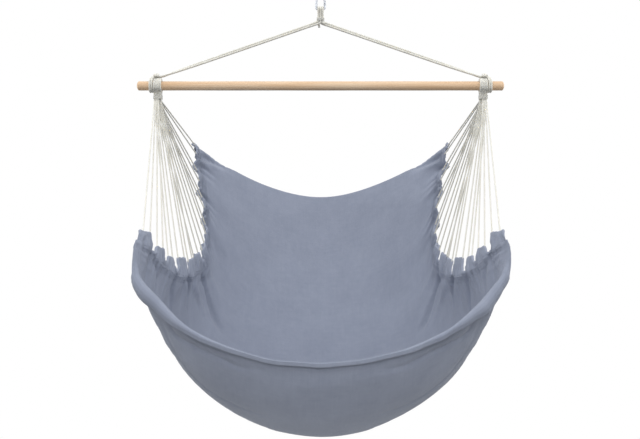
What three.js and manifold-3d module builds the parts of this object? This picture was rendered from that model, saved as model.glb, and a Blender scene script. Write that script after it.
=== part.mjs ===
// A hammock chair. A cloth seat hangs on two fans of cord from a round wooden spreader bar, the bar hangs on a
// doubled rope, and the rope hangs in a steel snap hook. Millimetres, +Z up, X along the bar, front at -Y.
// The origin is the hanging point, inside the top bow of the hook.
import * as THREE from "three";
import { mergeVertices } from "three/addons/utils/BufferGeometryUtils.js";
import Module from "manifold-3d";

const wasm = await Module();
wasm.setup();

// Clearances
const CLEARANCE = 0.3;
const CUT_OVERRUN = 2;

// Snap hook, bent from one wire
const HOOK_WIRE_DIAMETER = 6;
const HOOK_INNER_LENGTH = 54;
const HOOK_BROAD_INNER_WIDTH = 17.4;
const HOOK_NARROW_INNER_WIDTH = 11;
const HOOK_BROAD_BEND_RADIUS = 7;
const HOOK_TANG_LENGTH = 9.6;
const HOOK_TANG_THICKNESS = 2;
const GATE_PIN_DIAMETER = 2;
const GATE_NOSE_GAP = 2;

// Suspension rope
const ROPE_DIAMETER = 5.2;
const ROPE_EYE_STRANDS = 3;
const ROPE_EYE_PRESS = 0.2;
const ROPE_EYE_LENGTH = 30;
const SEIZING_HEIGHT = 8;
const SEIZING_WALL = 1.4;
const ROPE_BEND_DROP = 7;

// Spreader bar
const BAR_DIAMETER = 25;
const BAR_LENGTH = 1000;
const BAR_DOME = 6;
const BAR_DROP = 265;

// Cord fan
const CORD_DIAMETER = 3.2;
const NECK_COLUMN_COUNT = 6;
const FAN_INSET = 57;
const NECK_DROP = 31;
const WHIPPING_HEIGHT = 11;
const WHIPPING_WALL = 1.3;
const BUNDLE_EYE_THICKNESS = 8.5;
const BUNDLE_EYE_ROUNDING = 3;
const NECK_BEND = 10;
const NECK_STAGGER = 4;

// Seat
const SEAT_DEPTH = 850;
const SEAT_DROP = 914;

// Side hems
const HEM_HEIGHT = 34;
const HEM_NOTCH_DEPTH = 19;
const HEM_THICKNESS = 7;
const CORD_SINK = 7;
const CORD_BEND_CUT = 3.5;

// Cloth
const CLOTH_THICKNESS = 1.6;
const FOLD_DEPTH = 7;
const RIM_ROLL_CENTRE_RADIUS = 5;
const RIM_ROLL_CORNER_RADIUS = 11;

// Tips of the hem's tabs on the right side, from the back top corner to the front corner: out in shares of half
// the fan's span, back in shares of the seat's depth, and up from the bar's axis in shares of the seat's drop
const HEM_LINE_SHARES = [
  [0.8781, 0.4376, -0.1433],
  [0.842, 0.3906, -0.233],
  [0.7968, 0.3459, -0.3392],
  [0.772, 0.3, -0.43],
  [0.7652, 0.2082, -0.4967],
  [0.7856, 0.0729, -0.5241],
  [0.8194, -0.0918, -0.5263],
  [0.8533, -0.2094, -0.5109],
  [0.9007, -0.3059, -0.4803],
  [0.9526, -0.3718, -0.442],
  [0.9865, -0.4153, -0.4245],
];

// The cloth's middle line in the same shares, from the top back edge round the belly to the front rim
const MIDDLE_LINE_SHARES = [
  [0, 0.4729, -0.3162],
  [0, 0.4188, -0.4584],
  [0, 0.3388, -0.6105],
  [0, 0.2259, -0.7615],
  [0, 0.0906, -0.8884],
  [0, -0.0565, -0.9683],
  [0, -0.1976, -1],
  [0, -0.3388, -0.9792],
  [0, -0.4447, -0.9179],
  [0, -0.5094, -0.8337],
  [0, -0.5271, -0.7648],
];

// Where each loop of cord runs through its tab, in shares of the hem's length from the back corner
const TAB_SHARES = [
  [0.01, 0.04],
  [0.1, 0.135],
  [0.195, 0.23],
  [0.29, 0.325],
  [0.385, 0.425],
  [0.475, 0.53],
  [0.565, 0.62],
  [0.66, 0.735],
  [0.79, 0.83],
  [0.87, 0.905],
  [0.945, 0.985],
];

// How far the cloth's sections reach from the hem, outward, forward and down, and from the middle, in shares of the
// seat's drop. The sections stand at these shares of the way from the back edge to the front rim.
const SECTION_SHARES = [0, 0.15, 0.3, 0.45, 0.6, 0.75, 0.9, 1];
const SECTION_OUT_SHARES = [-0.0875, -0.0711, -0.0164, 0.0547, 0.1028, 0.1182, 0.0875, 0.0394];
const SECTION_FORWARD_SHARES = [-0.0088, -0.0066, 0, 0.0164, 0.0274, 0.0274, 0.0219, 0.0219];
const SECTION_DOWN_SHARES = [0.0525, 0.0985, 0.1532, 0.2079, 0.2352, 0.2407, 0.2133, 0.1751];
const SECTION_MIDDLE_SHARES = [0.1641, 0.186, 0.2298, 0.2626, 0.2735, 0.2735, 0.2735, 0.2735];

// The two strands of the right rope where it hitches round the bar: out, back and up from the middle of the
// bundle's eye. Each crosses the eye, goes down in front, under and up behind the bar, and over the top again.
const HITCH_FRONT_ROUTE = [
  [-16, -2.8, 27],
  [-6, -2.8, 24.6],
  [4, -2.8, 24.6],
  [11.6, -8.2, 22.8],
  [14.4, -15, 13.4],
  [14.8, -16.4, 0],
  [14.8, -11.6, -11.6],
  [14.8, 0, -16.4],
  [14.8, 11.6, -11.6],
  [14.8, 16.4, 1],
  [14.4, 15.6, 11.6],
  [10.2, 12.8, 22],
  [4.2, 5.2, 30.3],
  [-0.4, -2, 31.2],
  [-1.8, -8, 28.6],
];
const HITCH_BACK_ROUTE = [
  [-16, 2.8, 27],
  [-6, 2.8, 24.6],
  [6, 2.8, 24.6],
  [14.9, -2.6, 22.8],
  [19.4, -11.6, 15],
  [20.4, -16.4, 0],
  [20.4, -11.6, -11.6],
  [20.4, 0, -16.4],
  [20.4, 11.6, -11.6],
  [20.4, 16.4, 1],
  [19.8, 15.6, 12],
  [16, 12.6, 22.6],
  [10.2, 5.6, 30.2],
  [6.8, -2, 31.4],
  [6, -8, 28.6],
];
const HITCH_BIGHT = [2.1, -12.2, 25.6];
const HITCH_STEPS = 44;
const TWIST_STEPS = 4;
const ROPE_BEND_CUT = 5;
const ROPE_UPPER_RISE = 3.9;

// How far each loose end of the rope reaches from its bend below the seizing
const ROPE_TAIL_REACH = { left: [3, 4, -12], right: [6, -4, -3] };

// The cloth's columns, in shares of the way from the middle to the hem
const CLOTH_COLUMN_SHARES = [0, 0.22, 0.42, 0.59, 0.74, 0.86, 0.95, 1];
const FOLD_FADE_SHARE = 0.45;
const NORMAL_STEP_SHARE = 0.01;
const RIM_ROLL_ANGLES = [Math.PI / 4, Math.PI / 2, (3 * Math.PI) / 4];
const RIM_ROLL_WIDEST_SHARE = 0.75;

const SIDES = [
  ["left", -1],
  ["right", 1],
];

const COLOURS = {
  steel: { color: 0xa8aaac, roughness: 0.35, metalness: 1 },
  rope: { color: 0xd9dad3, roughness: 0.95, metalness: 0 },
  beech: { color: 0xcbb091, roughness: 0.6, metalness: 0 },
  cloth: { color: 0x8a91a4, roughness: 0.95, metalness: 0 },
};

const FAN_SPAN = BAR_LENGTH - 2 * FAN_INSET;
const WIRE_RADIUS = HOOK_WIRE_DIAMETER / 2;
const ROPE_RADIUS = ROPE_DIAMETER / 2;
const ROPE_EYE_PITCH = ROPE_DIAMETER - ROPE_EYE_PRESS;
const CORD_RADIUS = CORD_DIAMETER / 2;
const BAR_RADIUS = BAR_DIAMETER / 2;
const BOW_DROP = HOOK_INNER_LENGTH + WIRE_RADIUS;
const FAN_CORD_COUNT = 2 * TAB_SHARES.length;
const CORD_PITCH = CORD_DIAMETER + CLEARANCE;
const NECK_ROW_COUNT = Math.ceil(FAN_CORD_COUNT / NECK_COLUMN_COUNT);
const NECK_HALF_WIDTH = ((NECK_COLUMN_COUNT - 1) * CORD_PITCH) / 2 + CORD_RADIUS;
const NECK_HALF_DEPTH = ((NECK_ROW_COUNT - 1) * CORD_PITCH) / 2 + CORD_RADIUS;
const BUNDLE_EYE_WIDTH = 2 * NECK_HALF_WIDTH;
const BUNDLE_EYE_RADIUS = BAR_RADIUS + CLEARANCE + BUNDLE_EYE_THICKNESS;

const ROUND_SIDES = 12;
const CORD_SIDES = 8;
const CHANNEL_SIDES = 6;

const part = new THREE.Group();

function vector([x, y, z]) {
  return new THREE.Vector3(x, y, z);
}

// A route that a section follows from station to station, square to the bisector at each. The section's own
// x starts along the direction across, and turns no more than the route does.
class Route extends THREE.Curve {
  constructor(stations, across) {
    super();
    this.stations = stations;
    this.across = across;
  }

  computeFrenetFrames() {
    const last = this.stations.length - 1;
    const tangents = this.stations.map((station, index) => this.getTangent(index / last));
    const normals = [];
    const binormals = [];
    let normal = this.across.clone();
    for (const tangent of tangents) {
      normal = normal.clone().addScaledVector(tangent, -normal.dot(tangent)).normalize();
      normals.push(normal);
      binormals.push(tangent.clone().cross(normal));
    }
    return { tangents, normals, binormals };
  }

  getPoint(t, target = new THREE.Vector3()) {
    const place = t * (this.stations.length - 1);
    const index = Math.min(Math.floor(place), this.stations.length - 2);
    return target.copy(this.stations[index]).lerp(this.stations[index + 1], place - index);
  }

  getUtoTmapping(u) {
    return u;
  }

  getTangent(t, target = new THREE.Vector3()) {
    const last = this.stations.length - 1;
    const index = Math.round(t * last);
    const before = this.stations[Math.max(index - 1, 0)];
    const here = this.stations[index];
    const after = this.stations[Math.min(index + 1, last)];
    const arriving = here.clone().sub(before).normalize();
    const leaving = after.clone().sub(here).normalize();
    return target.copy(arriving).add(leaving).normalize();
  }
}

function circle(radius) {
  const shape = new THREE.Shape();
  shape.absarc(0, 0, radius, 0, 2 * Math.PI, false);
  return shape;
}

// A round strand through the stations, with closed ends
function strand(stations, diameter, sides) {
  return sweep(circle(diameter / 2), stations, sides / 2);
}

function sweep(shape, stations, curveSegments, across = new THREE.Vector3(1, 0, 0)) {
  const geometry = new THREE.ExtrudeGeometry(shape, {
    steps: stations.length - 1,
    extrudePath: new Route(stations, across),
    curveSegments,
  });
  return closed(geometry);
}

// The same surface with shared vertices, as a closed mesh needs
function closed(geometry) {
  geometry.deleteAttribute("normal");
  geometry.deleteAttribute("uv");
  return mergeVertices(geometry);
}

// Stations that round the corner of a route between two straight runs
function roundedCorner(before, corner, after, cut, steps) {
  const start = corner.clone().add(before.clone().sub(corner).setLength(cut));
  const end = corner.clone().add(after.clone().sub(corner).setLength(cut));
  return new THREE.QuadraticBezierCurve3(start, corner, end).getPoints(steps);
}

function solid(geometry) {
  const merged = geometry.index ? geometry : closed(geometry);
  return new wasm.Manifold(
    new wasm.Mesh({
      numProp: 3,
      vertProperties: new Float32Array(merged.attributes.position.array),
      triVerts: new Uint32Array(merged.index.array),
    }),
  );
}

function geometryOf(made) {
  const mesh = made.getMesh();
  const geometry = new THREE.BufferGeometry();
  geometry.setAttribute("position", new THREE.BufferAttribute(mesh.vertProperties, 3));
  geometry.setIndex(new THREE.BufferAttribute(mesh.triVerts, 1));
  return geometry;
}

function add(name, geometry, colours, parent = part) {
  const shaded = geometry.index ? geometry.toNonIndexed() : geometry;
  shaded.computeVertexNormals();
  const mesh = new THREE.Mesh(shaded, new THREE.MeshStandardMaterial(colours));
  mesh.name = name;
  parent.add(mesh);
  return mesh;
}

// A rod along X or Y, as a solid
function rod(radius, length, axis, place, sides = ROUND_SIDES) {
  const geometry = new THREE.CylinderGeometry(radius, radius, length, sides);
  if (axis === "x") geometry.rotateZ(Math.PI / 2);
  geometry.translate(...place);
  return solid(closed(geometry));
}

// The snap hook's wire, from the tang at the gate's pin round the broad bow, the spine and the narrow bow
function hookStations() {
  const broad = HOOK_BROAD_INNER_WIDTH / 2 + WIRE_RADIUS;
  const narrow = HOOK_NARROW_INNER_WIDTH / 2 + WIRE_RADIUS;
  const low = -BOW_DROP;
  const high = WIRE_RADIUS;
  const bend = HOOK_BROAD_BEND_RADIUS;
  const corner = (x, z, from, to, radius) => {
    const arc = new THREE.EllipseCurve(x, z, radius, radius, from, to, to < from);
    return arc.getPoints(5).map((p) => new THREE.Vector3(p.x, 0, p.y));
  };
  return [
    new THREE.Vector3(broad, 0, low + bend + HOOK_TANG_LENGTH / 2),
    ...corner(broad - bend, low + bend, 0, -Math.PI / 2, bend),
    ...corner(-broad + bend, low + bend, -Math.PI / 2, -Math.PI, bend),
    ...corner(0, high - narrow, Math.PI, 0, narrow),
  ];
}

function gateHinge() {
  const broad = HOOK_BROAD_INNER_WIDTH / 2 + WIRE_RADIUS;
  return new THREE.Vector3(broad, 0, -BOW_DROP + HOOK_BROAD_BEND_RADIUS + HOOK_TANG_LENGTH);
}

function gateNose() {
  const narrow = HOOK_NARROW_INNER_WIDTH / 2 + WIRE_RADIUS;
  return new THREE.Vector3(narrow, 0, WIRE_RADIUS - narrow);
}

function buildHook() {
  const hinge = gateHinge();
  const nose = gateNose();
  const along = nose.clone().sub(hinge).normalize();
  const lean = Math.atan2(along.x, along.z);
  const slot = HOOK_TANG_THICKNESS + 2 * CLEARANCE;
  const pinHole = rod(GATE_PIN_DIAMETER / 2 + CLEARANCE, HOOK_WIRE_DIAMETER + CUT_OVERRUN, "y", hinge.toArray());

  const tang = new THREE.BoxGeometry(HOOK_WIRE_DIAMETER, HOOK_TANG_THICKNESS, HOOK_TANG_LENGTH + WIRE_RADIUS);
  tang.translate(hinge.x, 0, hinge.z - HOOK_TANG_LENGTH / 2 + WIRE_RADIUS / 2);
  const body = solid(strand(hookStations(), HOOK_WIRE_DIAMETER, ROUND_SIDES))
    .add(solid(closed(tang)))
    .subtract(pinHole);
  add("snap_hook_body", geometryOf(body), COLOURS.steel);

  const start = hinge.clone().addScaledVector(along, -WIRE_RADIUS);
  const end = nose.clone().addScaledVector(along, -GATE_NOSE_GAP);
  const arm = solid(strand([start, end], HOOK_WIRE_DIAMETER, ROUND_SIDES));
  const slotBox = new THREE.BoxGeometry(
    HOOK_WIRE_DIAMETER + 2 * CUT_OVERRUN,
    slot,
    2 * HOOK_TANG_LENGTH,
  );
  slotBox.rotateY(lean);
  slotBox.translate(hinge.x, 0, hinge.z);
  add("snap_hook_gate", geometryOf(arm.subtract(solid(closed(slotBox))).subtract(pinHole)), COLOURS.steel);

  const pin = new THREE.CylinderGeometry(
    GATE_PIN_DIAMETER / 2,
    GATE_PIN_DIAMETER / 2,
    HOOK_WIRE_DIAMETER,
    ROUND_SIDES,
  );
  pin.translate(...hinge.toArray());
  add("snap_hook_pin", closed(pin), COLOURS.steel);
}

// The outline of strands that lie side by side and touch
function strandRow(count, pitch, radius) {
  const shape = new THREE.Shape();
  const reach = Math.acos(pitch / 2 / radius);
  const centre = (index) => (index - (count - 1) / 2) * pitch;
  for (let index = 0; index < count; index++) {
    const from = index === 0 ? -Math.PI : -Math.PI + reach;
    const to = index === count - 1 ? 0 : -reach;
    shape.absarc(centre(index), 0, radius, from, to, false);
  }
  for (let index = count - 1; index >= 0; index--) {
    const from = index === count - 1 ? 0 : reach;
    const to = index === 0 ? Math.PI : Math.PI - reach;
    shape.absarc(centre(index), 0, radius, from, to, false);
  }
  return shape;
}

function seizingCentre() {
  return new THREE.Vector3(0, 0, -BOW_DROP - ROPE_EYE_LENGTH + SEIZING_HEIGHT / 2);
}

function buildSuspensionEye() {
  const wrap = WIRE_RADIUS + CLEARANCE + ROPE_RADIUS;
  const layer = (ROPE_DIAMETER + CLEARANCE) / 2;
  const foot = seizingCentre().z + CLEARANCE / 2;
  const stations = [
    new THREE.Vector3(0, -layer, foot),
    new THREE.Vector3(0, -layer, foot + SEIZING_HEIGHT / 2),
  ];
  for (let step = 0; step <= 8; step++) {
    const angle = Math.PI - (step * Math.PI) / 8;
    stations.push(new THREE.Vector3(0, wrap * Math.cos(angle), -BOW_DROP + wrap * Math.sin(angle)));
  }
  stations.push(new THREE.Vector3(0, layer, foot + SEIZING_HEIGHT / 2));
  stations.push(new THREE.Vector3(0, layer, foot));
  const row = strandRow(ROPE_EYE_STRANDS, ROPE_EYE_PITCH, ROPE_RADIUS);
  add("suspension_eye", sweep(row, stations, 2), COLOURS.rope);
}

// A rectangle seen from above, its corners rounded
function roundedRectangle(halfWidth, halfDepth, rounding) {
  const [x, y] = [halfWidth - rounding, halfDepth - rounding];
  const shape = new THREE.Shape();
  shape.absarc(x, y, rounding, 0, Math.PI / 2, false);
  shape.absarc(-x, y, rounding, Math.PI / 2, Math.PI, false);
  shape.absarc(-x, -y, rounding, Math.PI, 1.5 * Math.PI, false);
  shape.absarc(x, -y, rounding, 1.5 * Math.PI, 2 * Math.PI, false);
  return shape;
}

// A flat band round a rectangular bundle, its corners rounded
function bandRing(halfWidth, halfDepth, rounding, wall, height) {
  const ring = roundedRectangle(halfWidth + wall, halfDepth + wall, rounding + wall);
  ring.holes.push(roundedRectangle(halfWidth, halfDepth, rounding));
  const geometry = new THREE.ExtrudeGeometry(ring, { depth: height, bevelEnabled: false, curveSegments: 5 });
  geometry.translate(0, 0, -height / 2);
  return closed(geometry);
}

function buildSeizing() {
  const pitch = ROPE_DIAMETER + CLEARANCE;
  const halfWidth = pitch + ROPE_RADIUS + CLEARANCE;
  const halfDepth = pitch / 2 + ROPE_RADIUS + CLEARANCE;
  const band = bandRing(halfWidth, halfDepth, ROPE_RADIUS, SEIZING_WALL, SEIZING_HEIGHT);
  add("eye_seizing", band, COLOURS.rope).position.copy(seizingCentre());
}

function mirrored(stations, side) {
  return stations.map((p) => new THREE.Vector3(p.x * side, p.y, p.z));
}

// The right hitch's strands, measured from the middle of the bundle's eye on the bar's axis
function hitchStrand(route) {
  const place = new THREE.Vector3(FAN_SPAN / 2, 0, -BAR_DROP);
  return route.map((p) => vector(p).add(place));
}

// Where a strand of the doubled rope runs between its bend at the centre and its hitch. The pair turns a quarter
// on the way: one strand lies over the other at the centre, and behind it at the bar.
function twistStations(centreEnd, barEnd, which) {
  const half = (ROPE_DIAMETER + CLEARANCE) / 2;
  const run = barEnd.clone().sub(centreEnd).normalize();
  const up = new THREE.Vector3(-run.z, 0, run.x).normalize();
  const stations = [];
  for (let step = 1; step < TWIST_STEPS; step++) {
    const share = step / TWIST_STEPS;
    const turn = (share * Math.PI) / 2;
    const offset = up.clone().multiplyScalar(Math.cos(turn));
    offset.y += Math.sin(turn);
    stations.push(centreEnd.clone().lerp(barEnd, share).addScaledVector(offset, which * half));
  }
  return stations;
}

// One doubled rope: down from the seizing, round the bar outside the bundle's eye, over itself and back up.
// The side is 1 for the right rope and -1 for the left, whose neck lies in the front layer.
function ropeStations(side) {
  const pitch = ROPE_DIAMETER + CLEARANCE;
  const top = seizingCentre().z - CLEARANCE / 2;
  const depth = (side * pitch) / 2;
  const front = hitchStrand(HITCH_FRONT_ROUTE);
  const back = hitchStrand(HITCH_BACK_ROUTE);
  const lowCorner = new THREE.Vector3(0, depth, top - SEIZING_HEIGHT / 2 - ROPE_BEND_DROP);
  const highCorner = new THREE.Vector3(pitch, depth, lowCorner.z + ROPE_UPPER_RISE);
  const centreEnd = lowCorner.clone().lerp(highCorner, 1 / 2);
  const barEnd = front[0].clone().lerp(back[0], 1 / 2);
  const low = twistStations(centreEnd, barEnd, -1);
  const high = twistStations(centreEnd, barEnd, 1);
  const lowTop = new THREE.Vector3(0, depth, top);
  const highTop = new THREE.Vector3(pitch, depth, top);
  const hitch = new THREE.CatmullRomCurve3([...front, ...hitchStrand([HITCH_BIGHT]), ...back.reverse()]);
  return mirrored(
    [
      lowTop,
      ...roundedCorner(lowTop, lowCorner, low[0], ROPE_BEND_CUT, 3),
      ...low,
      ...hitch.getPoints(HITCH_STEPS),
      ...high.reverse(),
      ...roundedCorner(high.at(-1), highCorner, highTop, ROPE_BEND_CUT, 3),
      highTop,
    ],
    side,
  );
}

function buildRopes() {
  for (const [name, side] of SIDES) {
    add("suspension_rope_" + name, strand(ropeStations(side), ROPE_DIAMETER, CORD_SIDES), COLOURS.rope);
    const pitch = ROPE_DIAMETER + CLEARANCE;
    const top = seizingCentre().z - CLEARANCE / 2;
    const neck = new THREE.Vector3(side * pitch, (-side * pitch) / 2, top);
    const bend = neck.clone().setZ(top - SEIZING_HEIGHT / 2 - ROPE_DIAMETER);
    const end = bend.clone().add(vector(ROPE_TAIL_REACH[name]));
    const stations = [neck, ...roundedCorner(neck, bend, end, ROPE_RADIUS, 3), end];
    add("rope_tail_" + name, strand(stations, ROPE_DIAMETER, CORD_SIDES), COLOURS.rope);
  }
}

function buildBar() {
  const half = BAR_LENGTH / 2;
  const dome = new THREE.EllipseCurve(half - BAR_DOME, 0, BAR_DOME, BAR_RADIUS, 0, Math.PI / 2);
  const end = dome.getPoints(5).map((p) => new THREE.Vector2(Math.max(p.y, 0), p.x));
  end[0].x = 0;
  const profile = [...end.map((p) => new THREE.Vector2(p.x, -p.y)), ...end.reverse()];
  const bar = new THREE.LatheGeometry(profile, 2 * ROUND_SIDES);
  bar.rotateZ(-Math.PI / 2);
  add("spreader_bar", closed(bar), COLOURS.beech).position.z = -BAR_DROP;
}

// The looped head of the bundle: a rounded ring round the bar with the neck below it
function bundleEye() {
  const disc = new THREE.Shape();
  const inner = BUNDLE_EYE_RADIUS - BUNDLE_EYE_ROUNDING;
  disc.absarc(0, 0, inner, 0, 2 * Math.PI, false);
  const geometry = new THREE.ExtrudeGeometry(disc, {
    depth: BUNDLE_EYE_WIDTH - 2 * BUNDLE_EYE_ROUNDING,
    bevelThickness: BUNDLE_EYE_ROUNDING,
    bevelSize: BUNDLE_EYE_ROUNDING,
    bevelSegments: 2,
    curveSegments: ROUND_SIDES,
  });
  geometry.translate(0, 0, BUNDLE_EYE_ROUNDING - BUNDLE_EYE_WIDTH / 2);
  geometry.rotateY(Math.PI / 2);
  const neckLength = NECK_DROP - CLEARANCE / 2 - BAR_RADIUS;
  const outline = roundedRectangle(NECK_HALF_WIDTH, NECK_HALF_DEPTH, CORD_RADIUS);
  const neck = new THREE.ExtrudeGeometry(outline, { depth: neckLength, bevelEnabled: false, curveSegments: 4 });
  neck.translate(0, 0, -BAR_RADIUS - neckLength);
  const bore = rod(BAR_RADIUS + CLEARANCE, BUNDLE_EYE_WIDTH + CUT_OVERRUN, "x", [0, 0, 0], 2 * ROUND_SIDES);
  return geometryOf(solid(closed(geometry)).add(solid(closed(neck))).subtract(bore));
}

function whipping() {
  const [halfWidth, halfDepth] = [NECK_HALF_WIDTH + CLEARANCE, NECK_HALF_DEPTH + CLEARANCE];
  return bandRing(halfWidth, halfDepth, CORD_RADIUS + CLEARANCE, WHIPPING_WALL, WHIPPING_HEIGHT);
}

// A place on the right side from its shares
function sharedPlace([out, back, up]) {
  return new THREE.Vector3((out * FAN_SPAN) / 2, back * SEAT_DEPTH, up * SEAT_DROP);
}

// The hem's tips on the right side, from the back corner at 0 to the front corner at 1, below the bar
const hemCurve = new THREE.CatmullRomCurve3(HEM_LINE_SHARES.map(sharedPlace));
const middleCurve = new THREE.CatmullRomCurve3(MIDDLE_LINE_SHARES.map(sharedPlace));
const apex = new THREE.Vector3(FAN_SPAN / 2, 0, -NECK_DROP);

function hemPlace(along, below) {
  const tip = hemCurve.getPointAt(along);
  const down = tip.clone().sub(apex).normalize();
  return { place: tip.addScaledVector(down, below), down, run: hemCurve.getTangentAt(along) };
}

// The leg's place in the neck: rows from the back to the front of the fan, and in each row the legs further
// forward stand further out
function neckPlace(leg) {
  const row = Math.floor(leg / NECK_COLUMN_COUNT);
  const lastOfRow = Math.min((row + 1) * NECK_COLUMN_COUNT, FAN_CORD_COUNT) - 1;
  const across = (NECK_COLUMN_COUNT - 1) / 2 - (lastOfRow - leg);
  const depth = (NECK_ROW_COUNT - 1) / 2 - row;
  const stagger = Math.min(row, NECK_ROW_COUNT - 1 - row) * NECK_STAGGER;
  return new THREE.Vector3(FAN_SPAN / 2 + across * CORD_PITCH, depth * CORD_PITCH, -NECK_DROP - stagger);
}

function loopStations(loop) {
  const legs = TAB_SHARES[loop].map((along, which) => {
    const neck = neckPlace(2 * loop + which);
    const top = neck.clone().setZ(-NECK_DROP - CLEARANCE / 2);
    const corner = neck.clone();
    corner.z -= WHIPPING_HEIGHT / 2 + NECK_BEND / 2;
    const foot = hemPlace(along, CORD_SINK).place;
    return { top, corner, foot };
  });
  const [first, second] = legs;
  const bend = (leg, other) => roundedCorner(leg.corner, leg.foot, other.foot, CORD_BEND_CUT, 2);
  return [
    first.top,
    ...roundedCorner(first.top, first.corner, first.foot, NECK_BEND / 2, 3),
    ...bend(first, second),
    ...bend(second, first).reverse(),
    ...roundedCorner(second.top, second.corner, second.foot, NECK_BEND / 2, 3).reverse(),
    second.top,
  ];
}

// A closed skin over a grid of rings, each a closed loop of as many points, with flat ends
function loft(rings) {
  const count = rings[0].length;
  const positions = rings.flat().flatMap((p) => p.toArray());
  const faces = [];
  for (let ring = 0; ring + 1 < rings.length; ring++) {
    for (let index = 0; index < count; index++) {
      const next = (index + 1) % count;
      const [a, b] = [ring * count + index, ring * count + next];
      faces.push(a, b, b + count, a, b + count, a + count);
    }
  }
  const last = (rings.length - 1) * count;
  for (let index = 1; index + 1 < count; index++) {
    faces.push(0, index + 1, index, last, last + index, last + index + 1);
  }
  const geometry = new THREE.BufferGeometry();
  geometry.setAttribute("position", new THREE.Float32BufferAttribute(positions, 3));
  geometry.setIndex(faces);
  return geometry;
}

// The rows of the hem and of the cloth's edge: a notch before each tab, then the tab's two ends
function hemRows() {
  const rows = TAB_SHARES.flatMap(([from, to], loop) => {
    const before = loop === 0 ? 0 : (TAB_SHARES[loop - 1][1] + from) / 2;
    return [
      { along: before, notch: loop === 0 ? 0 : 1 },
      { along: from, notch: 0 },
      { along: to, notch: 0 },
    ];
  });
  return [...rows, { along: 1, notch: 0 }];
}

// The doubled, stitched hem that the cords run through
function hemBand() {
  return loft(hemRows().map(({ along, notch }) => hemRing(along, notch * HEM_NOTCH_DEPTH)));
}

function hemRing(along, notch) {
  const { place: tip, down, run } = hemPlace(along, 0);
  const thin = run.clone().cross(down).normalize().multiplyScalar(HEM_THICKNESS / 2);
  const at = (below, side) => tip.clone().addScaledVector(down, below).addScaledVector(thin, side);
  const crown = HEM_THICKNESS / 4;
  return [
    at(notch, -0.5),
    at(notch + crown, -1),
    at(HEM_HEIGHT - crown, -1),
    at(HEM_HEIGHT, -0.5),
    at(HEM_HEIGHT, 0.5),
    at(HEM_HEIGHT - crown, 1),
    at(notch + crown, 1),
    at(notch, 0.5),
  ];
}

// How far a section reaches
function reachAt(table, along) {
  const index = Math.min(
    SECTION_SHARES.findLastIndex((share) => share <= along),
    SECTION_SHARES.length - 2,
  );
  const span = SECTION_SHARES[index + 1] - SECTION_SHARES[index];
  const local = THREE.MathUtils.smoothstep((along - SECTION_SHARES[index]) / span, 0, 1);
  return SEAT_DROP * THREE.MathUtils.lerp(table[index], table[index + 1], local);
}

// A point of the cloth: along runs from the back edge to the front rim, and across from the middle at 0 to the
// right side's hem at 1
function clothPoint(along, across) {
  const { place: hem } = hemPlace(along, HEM_HEIGHT + CLEARANCE + CLOTH_THICKNESS / 2);
  const middle = middleCurve.getPointAt(along);
  const fromHem = new THREE.Vector3(
    hem.x + reachAt(SECTION_OUT_SHARES, along),
    hem.y - reachAt(SECTION_FORWARD_SHARES, along),
    hem.z - reachAt(SECTION_DOWN_SHARES, along),
  );
  const fromMiddle = middle.clone().setX(reachAt(SECTION_MIDDLE_SHARES, along));
  return new THREE.CubicBezierCurve3(middle, fromMiddle, fromHem, hem).getPoint(across);
}

// A cell of the cloth's grid on the right side: its place, the way out of the cloth and the way along it
function clothCell(along, across) {
  const step = NORMAL_STEP_SHARE;
  const ahead = clothPoint(Math.min(along + step, 1), across).sub(clothPoint(Math.max(along - step, 0), across));
  const aside = clothPoint(along, Math.min(across + step, 1)).sub(clothPoint(along, Math.max(across - step, 0)));
  if (across === 0) aside.set(1, 0, 0);
  return {
    point: clothPoint(along, across),
    normal: aside.cross(ahead).normalize(),
    forward: ahead.normalize(),
  };
}

// A row of cells across the right side, raised into a fold at each tab and sunk between tabs
function foldedRow({ along, notch }) {
  return CLOTH_COLUMN_SHARES.map((across) => {
    const cell = clothCell(along, across);
    const gather = THREE.MathUtils.smoothstep(across, FOLD_FADE_SHARE, 1) * (1 - across ** 8);
    cell.point.addScaledVector(cell.normal, (notch ? -1 : 1) * FOLD_DEPTH * gather);
    return cell;
  });
}

// The front rim rolls over outward, widest near the corners
function rolledRow(rim, angle) {
  return rim.map((cell, column) => {
    const across = CLOTH_COLUMN_SHARES[column];
    const bump = Math.exp(-(((across - RIM_ROLL_WIDEST_SHARE) / (1 - RIM_ROLL_WIDEST_SHARE)) ** 2));
    const radius = THREE.MathUtils.lerp(RIM_ROLL_CENTRE_RADIUS, RIM_ROLL_CORNER_RADIUS, bump);
    const point = cell.point
      .clone()
      .addScaledVector(cell.forward, radius * Math.sin(angle))
      .addScaledVector(cell.normal, radius * (1 - Math.cos(angle)));
    const normal = cell.normal
      .clone()
      .multiplyScalar(Math.cos(angle))
      .addScaledVector(cell.forward, -Math.sin(angle));
    return { point, normal };
  });
}

function mirroredCell({ point, normal }) {
  return { point: mirroredPoint(point), normal: mirroredPoint(normal) };
}

function mirroredPoint(point) {
  return new THREE.Vector3(-point.x, point.y, point.z);
}

function buildCloth(parent) {
  const rows = hemRows().map(foldedRow);
  const rim = rows.at(-1);
  rows.push(...RIM_ROLL_ANGLES.map((angle) => rolledRow(rim, angle)));
  const full = rows.map((row) => [...row.slice(1).reverse().map(mirroredCell), ...row]);
  add("seat_cloth", shell(full, CLOTH_THICKNESS), COLOURS.cloth, parent);
}

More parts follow.
